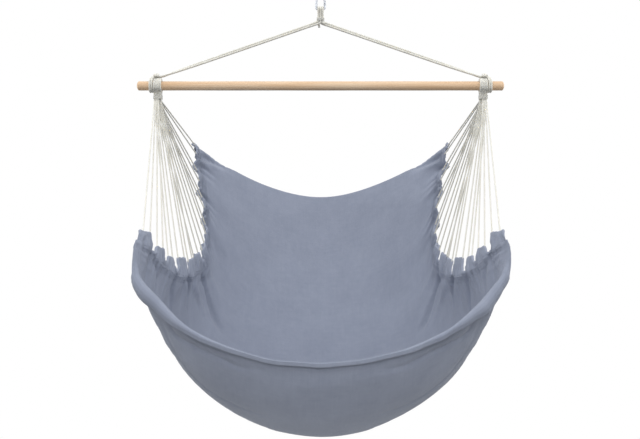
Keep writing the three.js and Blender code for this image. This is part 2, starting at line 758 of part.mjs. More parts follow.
// A thin shell over a grid of cells: an outer face along the normals, an inner face against them, and the edge.
// Both faces split each quad the same way, and the left half mirrors the right.
function shell(rows, thickness) {
  const columns = rows[0].length;
  const cells = rows.flat();
  const layer = (by) => cells.flatMap(({ point, normal }) => point.clone().addScaledVector(normal, by).toArray());
  const faces = [];
  const inner = cells.length;
  const quad = (a, b, c, d) => faces.push(a, b, c, a, c, d);
  for (let row = 0; row + 1 < rows.length; row++) {
    for (let column = 0; column + 1 < columns; column++) {
      const a = row * columns + column;
      const [b, c, d] = [a + 1, a + columns + 1, a + columns];
      const corners = column < (columns - 1) / 2 ? [a, b, c, d] : [b, c, d, a];
      quad(...corners);
      const [e, f, g, h] = corners.map((corner) => corner + inner);
      faces.push(e, g, f, e, h, g);
    }
  }
  const rim = [];
  for (let column = 0; column + 1 < columns; column++) rim.push(column);
  for (let row = 0; row + 1 < rows.length; row++) rim.push(row * columns + columns - 1);
  for (let column = columns - 1; column > 0; column--) rim.push((rows.length - 1) * columns + column);
  for (let row = rows.length - 1; row > 0; row--) rim.push(row * columns);
  rim.forEach((from, index) => {
    const to = rim[(index + 1) % rim.length];
    quad(to, from, from + inner, to + inner);
  });
  const geometry = new THREE.BufferGeometry();
  const positions = [...layer(thickness / 2), ...layer(-thickness / 2)];
  geometry.setAttribute("position", new THREE.Float32BufferAttribute(positions, 3));
  geometry.setIndex(faces);
  return geometry;
}

// The same geometry on the other side, with its faces still pointing out
function mirrorGeometry(geometry) {
  const other = geometry.clone();
  other.scale(-1, 1, 1);
  const faces = [...other.index.array];
  for (let face = 0; face < faces.length; face += 3) {
    [faces[face + 1], faces[face + 2]] = [faces[face + 2], faces[face + 1]];
  }
  other.setIndex(faces);
  return other;
}

function buildSeat() {
  const seat = new THREE.Group();
  seat.position.z = -BAR_DROP;
  part.add(seat);
  const channelDiameter = (CORD_DIAMETER + 2 * CLEARANCE) / Math.cos(Math.PI / CHANNEL_SIDES);
  const channels = [];
  const cords = [];
  for (let loop = 0; loop < TAB_SHARES.length; loop++) {
    const stations = loopStations(loop);
    cords.push(strand(stations, CORD_DIAMETER, CORD_SIDES));
    channels.push(strand(stations.slice(4, -4), channelDiameter, CHANNEL_SIDES));
  }
  const band = channels.reduce((made, channel) => made.subtract(solid(channel)), solid(hemBand()));
  const sided = (geometry, side) => (side > 0 ? geometry : mirrorGeometry(geometry));
  for (const [name, side] of SIDES) {
    const out = (side * FAN_SPAN) / 2;
    add(name + "_bundle_eye", bundleEye(), COLOURS.rope, seat).position.x = out;
    add(name + "_whipping", whipping(), COLOURS.rope, seat).position.set(out, 0, -NECK_DROP);
    cords.forEach((cord, loop) => {
      add(`${name}_fan_cord_${String(loop + 1).padStart(2, "0")}`, sided(cord, side), COLOURS.rope, seat);
    });
    add(name + "_side_hem", sided(geometryOf(band), side), COLOURS.cloth, seat);
  }
  buildCloth(seat);
}

buildHook();
buildSuspensionEye();
buildSeizing();
buildRopes();
buildBar();
buildSeat();

export default part;
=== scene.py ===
"""A hammock chair: a gathered cotton seat on fans of cord, a beech spreader bar, a doubled rope and a hook.

Lengths are written in millimetres in the row frame, as in the CAD: X along the bar, the front at -Y, +Z up,
and the origin where the hook hangs. They turn to metres when a mesh is made.
"""

from __future__ import annotations

import logging
import math
from dataclasses import dataclass, field
from enum import Enum
from typing import Any, Callable, Sequence

import bpy
import numpy as np
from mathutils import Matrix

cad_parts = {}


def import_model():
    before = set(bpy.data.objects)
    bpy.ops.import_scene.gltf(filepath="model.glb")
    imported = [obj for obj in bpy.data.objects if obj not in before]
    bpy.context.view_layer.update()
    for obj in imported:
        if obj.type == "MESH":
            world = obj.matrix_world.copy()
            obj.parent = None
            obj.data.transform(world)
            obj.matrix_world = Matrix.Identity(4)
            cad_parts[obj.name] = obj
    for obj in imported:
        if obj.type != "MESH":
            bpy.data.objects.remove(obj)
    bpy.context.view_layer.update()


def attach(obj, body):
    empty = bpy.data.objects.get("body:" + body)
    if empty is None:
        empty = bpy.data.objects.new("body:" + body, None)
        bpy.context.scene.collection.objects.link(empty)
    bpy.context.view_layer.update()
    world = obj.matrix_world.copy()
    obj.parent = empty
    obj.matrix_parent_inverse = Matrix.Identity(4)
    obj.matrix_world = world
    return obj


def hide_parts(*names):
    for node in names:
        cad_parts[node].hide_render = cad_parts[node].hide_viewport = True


LOG = logging.getLogger("hammock_chair")
MM = 0.001
Array = np.ndarray
Section = Callable[[Array, Array], Array]


class Side(Enum):
    """The two mirrored sides, with the sign of their X."""

    LEFT = -1
    RIGHT = 1

    @property
    def word(self) -> str:
        """The side's name in lower case."""
        return self.name.lower()


class Body(Enum):
    """The CAD bodies that the pieces ride on."""

    HOOK = "hook"
    GATE = "gate"
    SUSPENSION = "suspension"
    SEAT = "seat"


# Curves


def unit(vectors: Array) -> Array:
    """The vectors at length one."""
    length = np.linalg.norm(vectors, axis=-1, keepdims=True)
    return vectors / np.maximum(length, 1e-12)


def smooth_curve(knots: Sequence[Sequence[float]], per_span: int = 24) -> Array:
    """A centripetal curve through the knots.

    Args:
        knots: Points that the curve passes through.
        per_span: How many points lie on each span.

    Returns:
        Array: Points along the curve.
    """
    points = np.asarray(knots, float)
    padded = np.vstack([2 * points[0] - points[1], points, 2 * points[-1] - points[-2]])
    share = np.linspace(0, 1, per_span, endpoint=False)[:, None]
    spans = []
    for before, start, end, after in zip(padded, padded[1:], padded[2:], padded[3:]):
        first, middle, last = (
            max(np.linalg.norm(b - a), 1e-9) ** 0.5
            for a, b in ((before, start), (start, end), (end, after))
        )
        leaving = (start - before) / first - (end - before) / (first + middle) + (end - start) / middle
        arriving = (end - start) / middle - (after - start) / (middle + last) + (after - end) / last
        square, cube = share**2, share**3
        spans.append(
            (2 * cube - 3 * square + 1) * start
            + (cube - 2 * square + share) * leaving * middle
            + (3 * square - 2 * cube) * end
            + (cube - square) * arriving * middle
        )
    return np.vstack([*spans, points[-1:]])


def distances(points: Array) -> Array:
    """The distance run along a line at each of its points, from 0."""
    steps = np.linalg.norm(np.diff(points, axis=0), axis=1)
    return np.concatenate([[0.0], np.cumsum(steps)])


def between(stations: Array, vectors: Array, at: Array | float) -> Array:
    """Vectors read between the rising stations where they are known."""
    return np.stack([np.interp(at, stations, vectors[:, axis]) for axis in range(3)], axis=-1)


def along_line(points: Array, shares: Array) -> Array:
    """Places at shares, from 0 to 1, of a line's length."""
    run = distances(points)
    return between(run, points, np.asarray(shares) * run[-1])


def evenly(points: Array, spacing: float) -> Array:
    """The same line with its points evenly spaced, about the given distance apart."""
    count = max(int(round(distances(points)[-1] / spacing)), 2)
    return along_line(points, np.linspace(0, 1, count + 1))


def soft_table(shares: Sequence[float], values: Sequence[float], at: Array) -> Array:
    """A table read with a smooth curve through its values.

    Args:
        shares: Where the values stand.
        values: The values.
        at: Where to read.

    Returns:
        Array: The values read.
    """
    x, y = np.asarray(shares, float), np.asarray(values, float)
    slope = np.gradient(y, x)
    index = np.clip(np.searchsorted(x, at, side="right") - 1, 0, len(x) - 2)
    width = x[index + 1] - x[index]
    t = np.clip((at - x[index]) / width, 0, 1)
    return (
        (2 * t**3 - 3 * t**2 + 1) * y[index]
        + (t**3 - 2 * t**2 + t) * width * slope[index]
        + (3 * t**2 - 2 * t**3) * y[index + 1]
        + (t**3 - t**2) * width * slope[index + 1]
    )


def ease(low: float, high: float, values: Array) -> Array:
    """A smooth step from 0 at low to 1 at high, read at the values."""
    t = np.clip((values - low) / (high - low), 0, 1)
    return t * t * (3 - 2 * t)


def band(values: Array, start: tuple[float, float], end: tuple[float, float]) -> Array:
    """One between two soft borders, which rise and fall over the given stretches, and 0 beyond them."""
    return ease(*start, values) * (1 - ease(*end, values))


def rounded_corner(before: Array, corner: Array, after: Array, cut: float, count: int = 8) -> Array:
    """Points that round the corner between two straight runs.

    Args:
        before: A point on the first run.
        corner: Where the runs meet.
        after: A point on the second run.
        cut: How far from the corner the rounding starts and ends.
        count: How many points it has.

    Returns:
        Array: Points of the rounding.
    """
    start = corner + unit(before - corner) * cut
    end = corner + unit(after - corner) * cut
    t = np.linspace(0, 1, count)[:, None]
    return (1 - t) ** 2 * start + 2 * t * (1 - t) * corner + t**2 * end


def mirrored(points: Array, side: Side) -> Array:
    """Points of the right side, mirrored for the left side."""
    return points * np.array([side.value, 1.0, 1.0])


def ripple(points: Array, wavelength: float, seed: int, waves: int = 6) -> Array:
    """Gentle seeded undulation through space.

    Args:
        points: Where to read it, in millimetres.
        wavelength: About how long its waves are.
        seed: Which undulation.
        waves: How many plane waves it sums.

    Returns:
        Array: Its height, about -1 to 1.
    """
    random = np.random.default_rng(seed)
    total = np.zeros(points.shape[:-1])
    for _ in range(waves):
        direction = unit(random.normal(size=3))
        length = wavelength * random.uniform(0.7, 1.5)
        total += np.cos(points @ direction * (2 * math.pi / length) + random.uniform(0, 2 * math.pi))
    return total / math.sqrt(waves * 2)


# Sections and meshes


def plied(diameter: float, lay: float, groove: float, plies: int = 3) -> Section:
    """The section of a laid cord, whose plies wind round it.

    Args:
        diameter: The cord's diameter.
        lay: How long one turn of a ply is.
        groove: How deep the grooves go, as a share of the radius.
        plies: How many plies it is laid from.

    Returns:
        Section: The radius from the distance run and the angle.
    """
    roundness = 0.7

    def section(run: Array, angle: Array) -> Array:
        """The radius at a distance and an angle."""
        phase = plies / 2 * (angle - 2 * math.pi * run / lay)
        return diameter / 2 * (1 - groove + groove * np.abs(np.cos(phase)) ** roundness)

    return section


def plain(radius: float) -> Section:
    """A round section of one radius.

    Args:
        radius: Its radius.

    Returns:
        Section: The radius from the distance run and the angle.
    """

    def section(run: Array, angle: Array) -> Array:
        """The same radius everywhere."""
        return np.full(np.broadcast_shapes(run.shape, angle.shape), float(radius))

    return section


def blunted(radius: float, length: float, rounding: float, share: float, both: bool = True) -> Section:
    """A round section that is rounded off towards its ends.

    Args:
        radius: Its radius.
        length: How long the rod is.
        rounding: How far from an end the rounding starts.
        share: The share of the section's area that the end loses.
        both: Whether the start is rounded off as well as the end.

    Returns:
        Section: The radius from the distance run and the angle.
    """

    def section(run: Array, angle: Array) -> Array:
        """The radius at a distance and an angle."""
        edge = np.clip((np.minimum(run, length - run) if both else length - run) / rounding, 0, 1)
        return radius * np.sqrt(1 - share * (1 - edge) ** 2) * np.ones_like(angle)

    return section


def tube_rings(path: Array, section: Section, sides: int) -> tuple[Array, Array, Array]:
    """Rings of points square to a path, turning no more than it does.

    Args:
        path: The centreline.
        section: The radius from the distance run and the angle.
        sides: How many points lie in a ring.

    Returns:
        tuple[Array, Array, Array]: The rings, the distance run and the angles.
    """
    tangents = unit(np.gradient(path, axis=0))
    normal = np.array([1.0, 0.0, 0.0])
    if abs(tangents[0] @ normal) > 0.9:
        normal = np.array([0.0, 1.0, 0.0])
    normals = []
    for tangent in tangents:
        normal = unit(normal - tangent * (normal @ tangent))
        normals.append(normal)
    binormals = np.cross(tangents, normals)
    run = distances(path)
    angles = np.linspace(0, 2 * math.pi, sides, endpoint=False)
    reach = section(run[:, None], angles[None, :])[..., None]
    turn = angles[None, :, None]
    ways = np.cos(turn) * np.array(normals)[:, None, :] + np.sin(turn) * binormals[:, None, :]
    return path[:, None, :] + reach * ways, run, angles


def grid_faces(rows: int, columns: int, wrap: bool = False) -> list[tuple[int, ...]]:
    """Faces over a grid of vertices.

    Args:
        rows: How many rows it has.
        columns: How many vertices a row has.
        wrap: Whether each row closes on itself.

    Returns:
        list[tuple[int, ...]]: The faces.
    """
    faces = []
    for row in range(rows - 1):
        for column in range(columns if wrap else columns - 1):
            a = row * columns + column
            b = row * columns + (column + 1) % columns
            faces.append((a, b, b + columns, a + columns))
    return faces


def closed_faces(rows: int, columns: int) -> list[tuple[int, ...]]:
    """Faces round a stack of rings, with both ends closed.

    Args:
        rows: How many rings it has.
        columns: How many vertices a ring has.

    Returns:
        list[tuple[int, ...]]: The faces, with the two ends last.
    """
    first = tuple(range(columns - 1, -1, -1))
    last = tuple(range((rows - 1) * columns, rows * columns))
    return [*grid_faces(rows, columns, wrap=True), first, last]


def flipped(faces: list[tuple[int, ...]]) -> list[tuple[int, ...]]:
    """The faces, looking the other way."""
    return [face[::-1] for face in faces]


@dataclass
class MeshParts:
    """Vertices, faces and texture places that grow into one mesh."""

    vertices: list[Array] = field(default_factory=list)
    faces: list[tuple[int, ...]] = field(default_factory=list)
    places: list[Array] = field(default_factory=list)
    count: int = 0

    def add(self, vertices: Array, faces: list[tuple[int, ...]], places: Array) -> MeshParts:
        """Adds a closed piece.

        Args:
            vertices: Its vertices, in millimetres.
            faces: Its faces, counted from its own first vertex.
            places: A texture place for each vertex, in millimetres on the material.

        Returns:
            MeshParts: These parts.
        """
        self.vertices.append(vertices)
        self.faces.extend(tuple(index + self.count for index in face) for face in faces)
        self.places.append(places)
        self.count += len(vertices)
        return self

    def add_tube(self, path: Array, section: Section, sides: int) -> MeshParts:
        """Adds a tube along a path, with closed ends.

        Args:
            path: Its centreline.
            section: Its radius from the distance run and the angle round it.
            sides: How many points lie round it.

        Returns:
            MeshParts: These parts.
        """
        rings, run, angles = tube_rings(path, section, sides)
        shape = rings.shape[:2]
        mean = float(np.mean(section(run[:, None], angles[None, :])))
        around = np.broadcast_to(angles[None, :] * mean, shape)
        along = np.broadcast_to(run[:, None], shape)
        places = np.stack([around, along], axis=-1).reshape(-1, 2)
        return self.add(rings.reshape(-1, 3), closed_faces(*shape), places)

    def make(self, name: str) -> bpy.types.Object:
        """Makes the object, smooth shaded and with its texture places.

        Args:
            name: The piece's name.

        Returns:
            bpy.types.Object: The new piece.
        """
        mesh = bpy.data.meshes.new(name)
        mesh.from_pydata((np.vstack(self.vertices) * MM).tolist(), [], self.faces)
        mesh.polygons.foreach_set("use_smooth", [True] * len(mesh.polygons))
        layer = mesh.uv_layers.new(name="cut")
        corners = np.empty(len(mesh.loops), dtype=np.int32)
        mesh.loops.foreach_get("vertex_index", corners)
        layer.data.foreach_set("uv", (np.vstack(self.places) * MM)[corners].ravel())
        mesh.validate()
        piece = bpy.data.objects.new(name, mesh)
        bpy.context.scene.collection.objects.link(piece)
        return piece


# Materials


def linear(colour: str) -> tuple[float, float, float, float]:
    """A colour from its sRGB hex value.

    Args:
        colour: Six hex digits.

    Returns:
        tuple[float, float, float, float]: Its linear red, green, blue and 1.
    """
    parts = [int(colour[index : index + 2], 16) / 255 for index in (0, 2, 4)]
    red, green, blue = (c / 12.92 if c <= 0.04045 else ((c + 0.055) / 1.055) ** 2.4 for c in parts)
    return red, green, blue, 1.0


def scales(*sizes: float) -> tuple[float, ...]:
    """How often each size, in millimetres, goes into a metre."""
    return tuple(1 / (size * MM) for size in sizes)


def node(
    tree: bpy.types.NodeTree,
    kind: str,
    inputs: dict[Any, Any] | None = None,
    stops: Sequence[tuple[float, str]] = (),
    **settings: Any,
) -> bpy.types.Node:
    """Adds a node with its settings and links.

    Args:
        tree: The node tree.
        kind: The node's type.
        inputs: For each input, a value or the output socket that feeds it.
        stops: The places and sRGB colours of its colour ramp, where it has one.
        **settings: The node's own settings.

    Returns:
        bpy.types.Node: The node.
    """
    added = tree.nodes.new(kind)
    for name, value in settings.items():
        setattr(added, name, value)
    for name, value in (inputs or {}).items():
        if isinstance(value, bpy.types.NodeSocket):
            tree.links.new(value, added.inputs[name])
        else:
            added.inputs[name].default_value = value
    if stops:
        elements = added.color_ramp.elements
        while len(elements) < len(stops):
            elements.new(0.5)
        for element, (place, colour) in zip(elements, stops):
            element.position = place
            element.color = linear(colour)
    return added


def new_material(name: str) -> tuple[bpy.types.Material, bpy.types.NodeTree]:
    """A material with an empty tree.

    Args:
        name: The material's name.

    Returns:
        tuple[bpy.types.Material, bpy.types.NodeTree]: The material and its tree.
    """
    material = bpy.data.materials.new(name)
    material.use_nodes = True
    material.node_tree.nodes.clear()
    return material, material.node_tree


@dataclass(frozen=True)
class CottonCanvas:
    """Plain woven cotton canvas, dyed grey blue and washed once: matt, softly napped, uneven in tone."""

    name: str = "woven_cotton_canvas"
    colour: str = "8990A1"
    light: str = "9299AA"
    dark: str = "7F8697"
    # Real threads stand about 0.6 mm apart. They are drawn at 1.3 mm, as coarse as they need to be to show.
    thread: float = 1.3
    # A slub, a thicker stretch of yarn, is about 1 mm wide in fact. It is drawn wider for the same reason.
    slub_width: float = 3.85
    slub_length: float = 71.4
    dye_patch: float = 90.9
    mottle: float = 18.2
    mottle_share: float = 0.4
    yarn_share: float = 0.35
    crumple: float = 14.0
    roughness: float = 0.92

    def make(self) -> bpy.types.Material:
        """Builds the weave with painted shade in its gaps, the uneven dye and the small crumples.

        Returns:
            bpy.types.Material: The material.
        """
        material, tree = new_material(self.name)
        place = node(tree, "ShaderNodeUVMap", uv_map="cut").outputs["UV"]
        inputs = {0: place, "Scale": scales(self.thread)[0]}
        threads = node(tree, "ShaderNodeVectorMath", inputs, operation="SCALE").outputs[0]
        split = node(tree, "ShaderNodeSeparateXYZ", {0: threads}).outputs
        yarns, over = [], []
        for axis, drawn in (
            ("X", scales(self.slub_length, self.slub_width, self.slub_width)),
            ("Y", scales(self.slub_width, self.slub_length, self.slub_width)),
        ):
            turn = node(tree, "ShaderNodeMath", {0: split[axis], 1: math.pi}, operation="MULTIPLY")
            wave = node(tree, "ShaderNodeMath", {0: turn.outputs[0]}, operation="SINE")
            over.append(node(tree, "ShaderNodeMath", {0: wave.outputs[0]}, operation="ABSOLUTE").outputs[0])
            slub = node(tree, "ShaderNodeVectorMath", {0: place, 1: drawn}, operation="MULTIPLY").outputs[0]
            slubs = node(tree, "ShaderNodeTexNoise", {"Vector": slub, "Scale": 1.0, "Detail": 2.0})
            yarns.append(slubs.outputs["Fac"])
        checks = node(tree, "ShaderNodeTexChecker", {"Vector": threads, "Scale": 1.0}).outputs["Fac"]
        mixes = []
        for first, second, share in ((*over, checks), (*yarns, 0.5)):
            mix = node(tree, "ShaderNodeMix", {"Factor": share, "A": first, "B": second}, data_type="FLOAT")
            mixes.append(mix.outputs[0])
        weave, yarn = mixes
        clouds = []
        for size, detail, roughness in ((self.dye_patch, 3.0, 0.6), (self.mottle, 4.0, 0.7)):
            inputs = {"Vector": place, "Scale": scales(size)[0], "Detail": detail, "Roughness": roughness}
            clouds.append(node(tree, "ShaderNodeTexNoise", inputs).outputs["Fac"])
        tone, mottle = clouds
        for pattern, share in ((mottle, self.mottle_share), (yarn, self.yarn_share)):
            mix = node(tree, "ShaderNodeMix", {"Factor": share, "A": tone, "B": pattern}, data_type="FLOAT")
            tone = mix.outputs[0]
        stops = [(0.26, self.dark), (0.5, self.colour), (0.74, self.light)]
        tint = node(tree, "ShaderNodeValToRGB", {"Fac": tone}, stops).outputs["Color"]
        # Painted shade: the colour is darkened where the threads dip between one another, in the weave's
        # gaps.
        inputs = {"Value": weave, "From Max": 0.6, "To Min": 0.86, "To Max": 1.0}
        shade = node(tree, "ShaderNodeMapRange", inputs).outputs[0]
        inputs = {"Factor": 1.0, "A": tint, "B": shade}
        colour = node(tree, "ShaderNodeMix", inputs, data_type="RGBA", blend_type="MULTIPLY")
        inputs = {"Vector": place, "Scale": scales(self.crumple)[0], "Detail": 3.0, "Roughness": 0.55}
        crumples = node(tree, "ShaderNodeTexNoise", {**inputs, "Distortion": 0.4}).outputs["Fac"]
        inputs = {"Height": crumples, "Strength": 0.5, "Distance": 1.6 * MM}
        soft = node(tree, "ShaderNodeBump", inputs).outputs[0]
        inputs = {"Height": weave, "Strength": 0.6, "Distance": 0.35 * MM, "Normal": soft}
        relief = node(tree, "ShaderNodeBump", inputs)
        shader = node(
            tree,
            "ShaderNodeBsdfPrincipled",
            {
                "Base Color": colour.outputs["Result"],
                "Roughness": self.roughness,
                "Sheen Weight": 0.12,
                "Sheen Roughness": 0.6,
                "Specular IOR Level": 0.25,
                "Normal": relief.outputs[0],
            },
        )
        node(tree, "ShaderNodeOutputMaterial", {"Surface": shader.outputs[0]})
        return material


@dataclass(frozen=True)
class CottonRope:
    """Undyed laid cotton: off white, matt, with fine fibres along the lay."""

    name: str = "laid_cotton_rope"
    colour: str = "D5D4CD"
    dark: str = "CBC9C1"
    # Fibres are 0.02 mm thick in fact. They are drawn at 0.4 mm, as coarse as they need to be to show.
    fibre: float = 0.4
    fibre_length: float = 3.6
    yellowed_patch: float = 25.0
    # Loose cotton lets light in about this far, which keeps the gaps between the cords pale.
    scatter: float = 3.0
    roughness: float = 0.95

    def make(self) -> bpy.types.Material:
        """Builds the fibres and the faint yellowing.

        Returns:
            bpy.types.Material: The material.
        """
        material, tree = new_material(self.name)
        place = node(tree, "ShaderNodeUVMap", uv_map="cut").outputs["UV"]
        size = scales(self.fibre, self.fibre_length, self.fibre)
        drawn = node(tree, "ShaderNodeVectorMath", {0: place, 1: size}, operation="MULTIPLY").outputs[0]
        inputs = {"Vector": drawn, "Scale": 1.0, "Detail": 3.0}
        fibres = node(tree, "ShaderNodeTexNoise", inputs).outputs["Fac"]
        solid = node(tree, "ShaderNodeTexCoord").outputs["Object"]
        inputs = {"Vector": solid, "Scale": scales(self.yellowed_patch)[0], "Detail": 2.0}
        yellowing = node(tree, "ShaderNodeTexNoise", inputs).outputs["Fac"]
        inputs = {"Factor": 0.45, "A": yellowing, "B": fibres}
        tone = node(tree, "ShaderNodeMix", inputs, data_type="FLOAT").outputs[0]
        stops = [(0.3, self.dark), (0.6, self.colour)]
        tint = node(tree, "ShaderNodeValToRGB", {"Fac": tone}, stops).outputs["Color"]
        relief = node(tree, "ShaderNodeBump", {"Height": fibres, "Strength": 0.15, "Distance": 0.15 * MM})
        shader = node(
            tree,
            "ShaderNodeBsdfPrincipled",
            {
                "Base Color": tint,
                "Roughness": self.roughness,
                "Subsurface Weight": 0.5,
                "Subsurface Radius": (1.0, 0.95, 0.85),
                "Subsurface Scale": self.scatter * MM,
                "Sheen Weight": 0.15,
                "Sheen Roughness": 0.5,
                "Specular IOR Level": 0.2,
                "Normal": relief.outputs[0],
            },
        )
        node(tree, "ShaderNodeOutputMaterial", {"Surface": shader.outputs[0]})
        return material


@dataclass(frozen=True)
class SteamedBeech:
    """Turned beech dowel, sanded and lightly oiled: pinkish tan, fine straight grain, short dark flecks."""

    name: str = "turned_oiled_beech"
    colour: str = "D6B99A"
    light: str = "DFCAB0"
    dark: str = "CBAA87"
    fleck: str = "A9845F"
    # Growth rings are 1.5 to 3 mm wide and ray flecks 2 to 4 mm long.
    ring: float = 2.4
    grain_length: float = 132.0
    band_length: float = 200.0
    band_width: float = 16.7
    fleck_length: float = 3.2
    fleck_width: float = 0.7
    roughness: float = 0.5

    def make(self) -> bpy.types.Material:
        """Builds the grain, the flecks and the sanded surface.

        Returns:
            bpy.types.Material: The material.
        """
        material, tree = new_material(self.name)
        solid = node(tree, "ShaderNodeTexCoord").outputs["Object"]
        streaks = []
        for length, width, detail, bend in (
            (self.grain_length, self.ring, 4.0, 0.5),
            (self.band_length, self.band_width, 2.0, 0.0),
        ):
            size = scales(length, width, width)
            drawn = node(tree, "ShaderNodeVectorMath", {0: solid, 1: size}, operation="MULTIPLY").outputs[0]
            inputs = {"Vector": drawn, "Scale": 1.0, "Detail": detail, "Distortion": bend}
            streaks.append(node(tree, "ShaderNodeTexNoise", inputs).outputs["Fac"])
        grain, bands = streaks
        inputs = {"Factor": 0.45, "A": grain, "B": bands}
        tone = node(tree, "ShaderNodeMix", inputs, data_type="FLOAT").outputs[0]
        stops = [(0.3, self.dark), (0.5, self.colour), (0.68, self.light)]
        tint = node(tree, "ShaderNodeValToRGB", {"Fac": tone}, stops).outputs["Color"]
        size = scales(self.fleck_length, self.fleck_width, self.fleck_width)
        spread = node(tree, "ShaderNodeVectorMath", {0: solid, 1: size}, operation="MULTIPLY").outputs[0]
        inputs = {"Vector": spread, "Scale": 1.0, "Randomness": 1.0}
        flecks = node(tree, "ShaderNodeTexVoronoi", inputs).outputs["Distance"]
        inputs = {"Value": flecks, "From Min": 0.12, "From Max": 0.3, "To Min": 0.5, "To Max": 0.0}
        mark = node(tree, "ShaderNodeMapRange", inputs).outputs[0]
        inputs = {"Factor": mark, "A": tint, "B": linear(self.fleck)}
        colour = node(tree, "ShaderNodeMix", inputs, data_type="RGBA")
        inputs = {"Value": grain, "To Min": self.roughness - 0.06, "To Max": self.roughness + 0.12}
        rough = node(tree, "ShaderNodeMapRange", inputs).outputs[0]
        relief = node(tree, "ShaderNodeBump", {"Height": grain, "Strength": 0.25, "Distance": 0.2 * MM})
        shader = node(
            tree,
            "ShaderNodeBsdfPrincipled",
            {
                "Base Color": colour.outputs["Result"],
                "Roughness": rough,
                "IOR": 1.45,
                "Specular IOR Level": 0.22,
                "Normal": relief.outputs[0],
            },
        )
        node(tree, "ShaderNodeOutputMaterial", {"Surface": shader.outputs[0]})
        return material


@dataclass(frozen=True)
class ZincPlatedSteel:
    """Bent and barrel plated steel wire: cool grey metal, softly bright, with faint cloudy passivation."""

    name: str = "barrel_plated_steel"
    colour: str = "B4B7BC"
    dull: str = "9DA1A8"
    cloud: float = 6.0
    roughness: float = 0.3

    def make(self) -> bpy.types.Material:
        """Builds the plating with its clouds and rubbed spots.

        Returns:
            bpy.types.Material: The material.
        """
        material, tree = new_material(self.name)
        solid = node(tree, "ShaderNodeTexCoord").outputs["Object"]
        inputs = {"Vector": solid, "Scale": scales(self.cloud)[0], "Detail": 4.0, "Roughness": 0.6}
        clouds = node(tree, "ShaderNodeTexNoise", inputs).outputs["Fac"]
        stops = [(0.35, self.dull), (0.6, self.colour)]
        tint = node(tree, "ShaderNodeValToRGB", {"Fac": clouds}, stops).outputs["Color"]
        inputs = {"Value": clouds, "To Min": self.roughness + 0.12, "To Max": self.roughness - 0.06}
        rough = node(tree, "ShaderNodeMapRange", inputs).outputs[0]
        relief = node(tree, "ShaderNodeBump", {"Height": clouds, "Strength": 0.15, "Distance": 0.1 * MM})
        shader = node(
            tree,
            "ShaderNodeBsdfPrincipled",
            {"Base Color": tint, "Metallic": 1.0, "Roughness": rough, "Normal": relief.outputs[0]},
        )
        node(tree, "ShaderNodeOutputMaterial", {"Surface": shader.outputs[0]})
        return material


@dataclass(frozen=True)
class Finish:
    """A made material and the slot of the CAD record that it fills."""

    slot: str
    material: bpy.types.Material


@dataclass
class Finishes:
    """The chair's materials, made once."""

    canvas: Finish = field(default_factory=lambda: Finish("cotton_canvas", CottonCanvas().make()))
    rope: Finish = field(default_factory=lambda: Finish("cotton_rope", CottonRope().make()))
    beech: Finish = field(default_factory=lambda: Finish("beech", SteamedBeech().make()))
    steel: Finish = field(default_factory=lambda: Finish("zinc_plated_steel", ZincPlatedSteel().make()))


def finish_piece(piece: bpy.types.Object, finish: Finish, body: Body, *nodes: str) -> bpy.types.Object:
    """Dresses a piece, puts it on its body and hides the CAD nodes that it stands for.

    Args:
        piece: The piece.
        finish: Its finish.
        body: The body that it rides on.
        *nodes: The CAD nodes that it replaces.

    Returns:
        bpy.types.Object: The same piece.
    """
    piece.data.materials.clear()
    piece.data.materials.append(finish.material)
    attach(piece, body.value)
    if nodes:
        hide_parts(*nodes)
    LOG.info("%s rides on %s, %d faces", piece.name, body.value, len(piece.data.polygons))
    return piece


# The chair's measures


@dataclass(frozen=True)
class Measures:
    """Sizes that several sub-assemblies share, in millimetres as in the CAD."""

    clearance: float = 0.3
    wire_diameter: float = 6.0
    hook_inner_length: float = 54.0
    # Loose cotton swells, so the rope and the cords are a little fuller here than their solids.
    rope_diameter: float = 5.8
    cord_diameter: float = 3.9
    # The whipping presses the cords together, so in the neck they stand closer than they are thick.
    cord_pitch: float = 3.5
    bar_diameter: float = 25.0
    bar_length: float = 1000.0
    bar_drop: float = 265.0
    fan_span: float = 886.0
    neck_drop: float = 31.0
    neck_columns: int = 6
    neck_rows: int = 4
    whipping_height: float = 11.0
    seat_depth: float = 850.0
    seat_drop: float = 914.0

    @property
    def bow_drop(self) -> float:
        """How far the broad bow's wire lies below the origin."""
        return self.hook_inner_length + self.wire_diameter / 2

    @property
    def bar_end(self) -> Array:
        """The place on the bar's axis that the right arm and the right fan hang at."""
        return np.array([self.fan_span / 2, 0.0, -self.bar_drop])

    @property
    def neck_half_width(self) -> float:
        """Half the width of the bundle of cords in the neck."""
        return (self.neck_columns - 1) * self.cord_pitch / 2 + self.cord_diameter / 2

    @property
    def neck_half_depth(self) -> float:
        """Half the depth of the bundle of cords in the neck."""
        return (self.neck_rows - 1) * self.cord_pitch / 2 + self.cord_diameter / 2


def wound_thread(
    half_width: float, half_depth: float, measures: Measures, height: float, thread: float
) -> Array:
    """The way of a thread wound side by side round a bundle that is rounded at its corners.

    Args:
        half_width: Half the bundle's width.
        half_depth: Half its depth.
        measures: The chair's measures.
        height: How high the winding is.
        thread: How thick the thread is.

    Returns:
        Array: Its centreline round the origin.
    """
    away = measures.clearance + thread / 2
    rounding = measures.cord_diameter / 2 + away
    inner = np.array([half_width, half_depth]) + away - rounding
    ring = [
        inner * way + rounding * np.array([math.cos(angle), math.sin(angle)])
        for quarter, way in enumerate(((1, 1), (-1, 1), (-1, -1), (1, -1)))
        for angle in np.linspace(0, math.pi / 2, 7) + quarter * math.pi / 2
    ]
    turns = int(height / thread) - 1
    rise = np.linspace(-0.5, 0.5, len(ring) * turns) * (height - thread)
    return evenly(np.column_stack([np.vstack([ring] * turns), rise]), 0.9)


